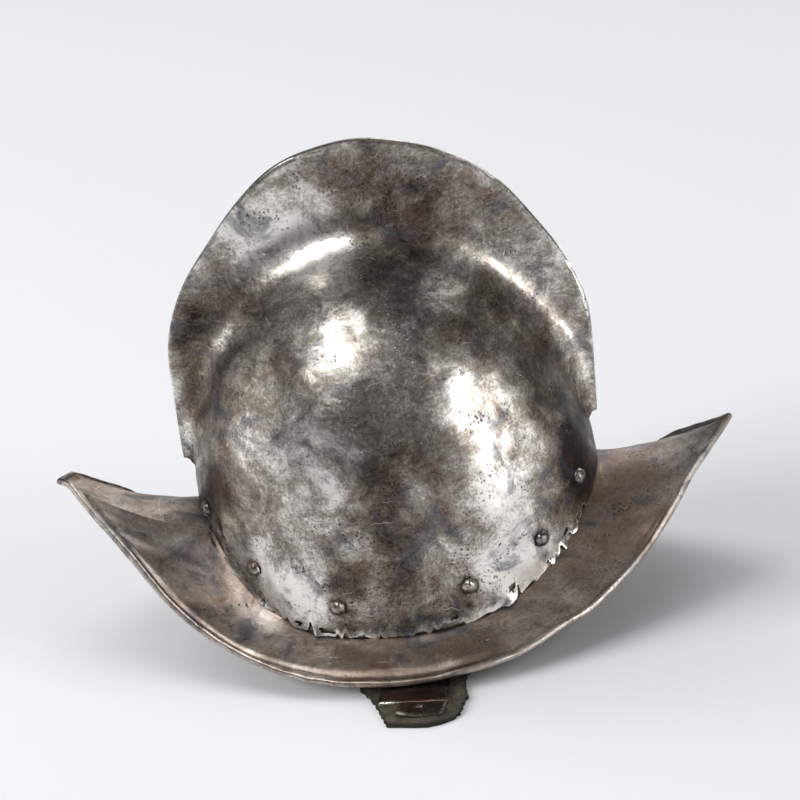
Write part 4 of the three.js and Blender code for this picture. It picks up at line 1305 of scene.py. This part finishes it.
class MORION_OT_stage(bpy.types.Operator):
    """Set the camera, the pale floor and the softboxes"""
    bl_idname = "morion.stage"
    bl_label = "Stage"

    def execute(self, context):
        settings = context.scene.morion.stage
        self.camera(context, settings)
        self.floor(settings)
        self.lights(settings)
        self.world(context, settings)
        context.scene.view_settings.view_transform = "Standard"
        context.scene.view_settings.look = "None"
        return {"FINISHED"}

    def camera(self, context, settings):
        """A long lens that looks down a little at the helmet's right side."""
        e, r = settings.elevation, settings.roll
        middle = Vector((0, 0, CAMERA_MIDDLE))
        forward = Vector((0, math.cos(e), -math.sin(e)))
        level, upward = Vector((1, 0, 0)), Vector((0, math.sin(e), math.cos(e)))
        right = math.cos(r) * level - math.sin(r) * upward
        up = math.sin(r) * level + math.cos(r) * upward
        place = middle - settings.distance * forward
        aim = middle + AIM_RIGHT * right + AIM_UP * up
        ahead = (aim - place).normalized()
        side = ahead.cross(up).normalized()
        up = side.cross(ahead)
        data = bpy.data.cameras.new("camera")
        data.lens = settings.lens
        data.sensor_width = 36
        data.clip_start = 0.05
        data.clip_end = 50
        camera = bpy.data.objects.new("camera", data)
        turn = Matrix((side, up, -ahead)).transposed().to_4x4()
        camera.matrix_world = Matrix.Translation(place) @ turn
        bpy.context.collection.objects.link(camera)
        context.scene.camera = camera

    def floor(self, settings):
        """A wide matt floor."""
        half = FLOOR_HALF
        mesh = bpy.data.meshes.new("floor")
        mesh.from_pydata([(-half, -half, 0), (half, -half, 0), (half, half, 0), (-half, half, 0)], [],
                         [(0, 1, 2, 3)])
        material = bpy.data.materials.new("Matt white paper")
        material.use_nodes = True
        shader = material.node_tree.nodes["Principled BSDF"]
        shader.inputs["Base Color"].default_value = (*settings.floor, 1.0)
        shader.inputs["Roughness"].default_value = 0.85
        mesh.materials.append(material)
        floor = bpy.data.objects.new("floor", mesh)
        bpy.context.collection.objects.link(floor)

    def softbox(self, name, azimuth, elevation, distance, size, power, shiny=True):
        """An area light that faces the helmet; azimuth turns from the camera's side towards the front.
        A shiny one is seen only in the steel, and the other one lights only the matt surfaces."""
        a, e = math.radians(azimuth), math.radians(elevation)
        middle = Vector((0, 0, LIGHT_MIDDLE))
        outward = Vector((math.sin(a) * math.cos(e), -math.cos(a) * math.cos(e), math.sin(e)))
        data = bpy.data.lights.new(name, "AREA")
        data.shape = "RECTANGLE"
        data.size, data.size_y = size
        data.energy = power
        light = bpy.data.objects.new(name, data)
        light.location = middle + distance * outward
        light.rotation_euler = outward.to_track_quat("Z", "Y").to_euler()
        light.visible_glossy = shiny
        light.visible_diffuse = not shiny
        bpy.context.collection.objects.link(light)

    def lights(self, settings):
        """Softboxes that the steel mirrors, and wide lights for the matt surfaces."""
        self.softbox("key", -33, 54, 1.9, (0.60, 0.60), settings.key)
        self.softbox("strip", 50, 13, 1.7, (0.13, 1.15), settings.strip)
        for name, azimuth, elevation, distance, size, power in (
                ("left panel", -88, 12, 1.9, (1.2, 1.0), 5.0), ("right panel", 76, 4, 1.9, (0.5, 0.7), 1.6),
                ("back panel", 160, 20, 2.0, (1.6, 0.8), 3.6),
                ("high back panel", 148, 40, 1.9, (1.7, 1.4), 11.5)):
            self.softbox(name, azimuth, elevation, distance, size, power)
        for name, azimuth, elevation, distance, size, share in (
                ("wash", -130, 42, 5.5, 2.6, 0.27), ("ceiling", 180, 82, 7.0, 6.0, 0.36),
                ("left fill", -70, 22, 4.5, 3.0, 0.56), ("right fill", 60, 26, 4.5, 3.0, 0.20)):
            self.softbox(
                name, azimuth, elevation, distance, (size, size), share * settings.wash, shiny=False)

    def world(self, context, settings):
        """A dim, even room around the helmet."""
        world = bpy.data.worlds.new("studio")
        world.use_nodes = True
        tree = world.node_tree
        tree.nodes.clear()
        sky = add_node(tree, "ShaderNodeBackground", {
            "Color": linear("#eceef2"), "Strength": settings.room})
        add_node(tree, "ShaderNodeOutputWorld", {"Surface": sky})
        context.scene.world = world


# ---- Add-on -----------------------------------------------------------------------------------

class MorionSettings(bpy.types.PropertyGroup):
    """All settings of the helmet and its stage."""
    steel: PointerProperty(type=SteelSettings)
    skull: PointerProperty(type=SkullSettings)
    brim: PointerProperty(type=BrimSettings)
    rivets: PointerProperty(type=RivetSettings)
    cheek: PointerProperty(type=CheekSettings)
    stage: PointerProperty(type=StageSettings)


class MORION_PT_panel(bpy.types.Panel):
    """Lists the helmet's pieces in the sidebar"""
    bl_label = "Comb Morion"
    bl_idname = "MORION_PT_panel"
    bl_space_type = "VIEW_3D"
    bl_region_type = "UI"
    bl_category = "Morion"

    def draw(self, context):
        """One box for each piece, with its button and its settings."""
        for key, operator in [*STEPS, ("steel", None)]:
            box = self.layout.box()
            group = getattr(context.scene.morion, key)
            if operator:
                box.operator(operator.bl_idname)
            for name in group.bl_rna.properties.keys():
                if name not in ("rna_type", "name"):
                    box.prop(group, name)


STEPS = [
    ("stage", MORION_OT_stage), ("skull", MORION_OT_skull), ("brim", MORION_OT_brim),
    ("rivets", MORION_OT_rivets), ("cheek", MORION_OT_cheek_pieces),
]
CLASSES = [
    SteelSettings, SkullSettings, BrimSettings, RivetSettings, CheekSettings, StageSettings, MorionSettings,
    MORION_OT_stage, MORION_OT_skull, MORION_OT_brim, MORION_OT_rivets, MORION_OT_cheek_pieces,
    MORION_PT_panel,
]


def register():
    """Adds the classes and the scene's settings."""
    for cls in CLASSES:
        bpy.utils.register_class(cls)
    bpy.types.Scene.morion = PointerProperty(type=MorionSettings)


def unregister():
    """Takes the scene's settings and the classes away."""
    del bpy.types.Scene.morion
    for cls in reversed(CLASSES):
        bpy.utils.unregister_class(cls)


def main():
    """Sets the stage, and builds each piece."""
    register()
    bpy.ops.morion.stage()
    bpy.ops.morion.skull()
    bpy.ops.morion.brim()
    bpy.ops.morion.rivets()
    bpy.ops.morion.cheek_pieces()


if __name__ == "__main__":
    main()
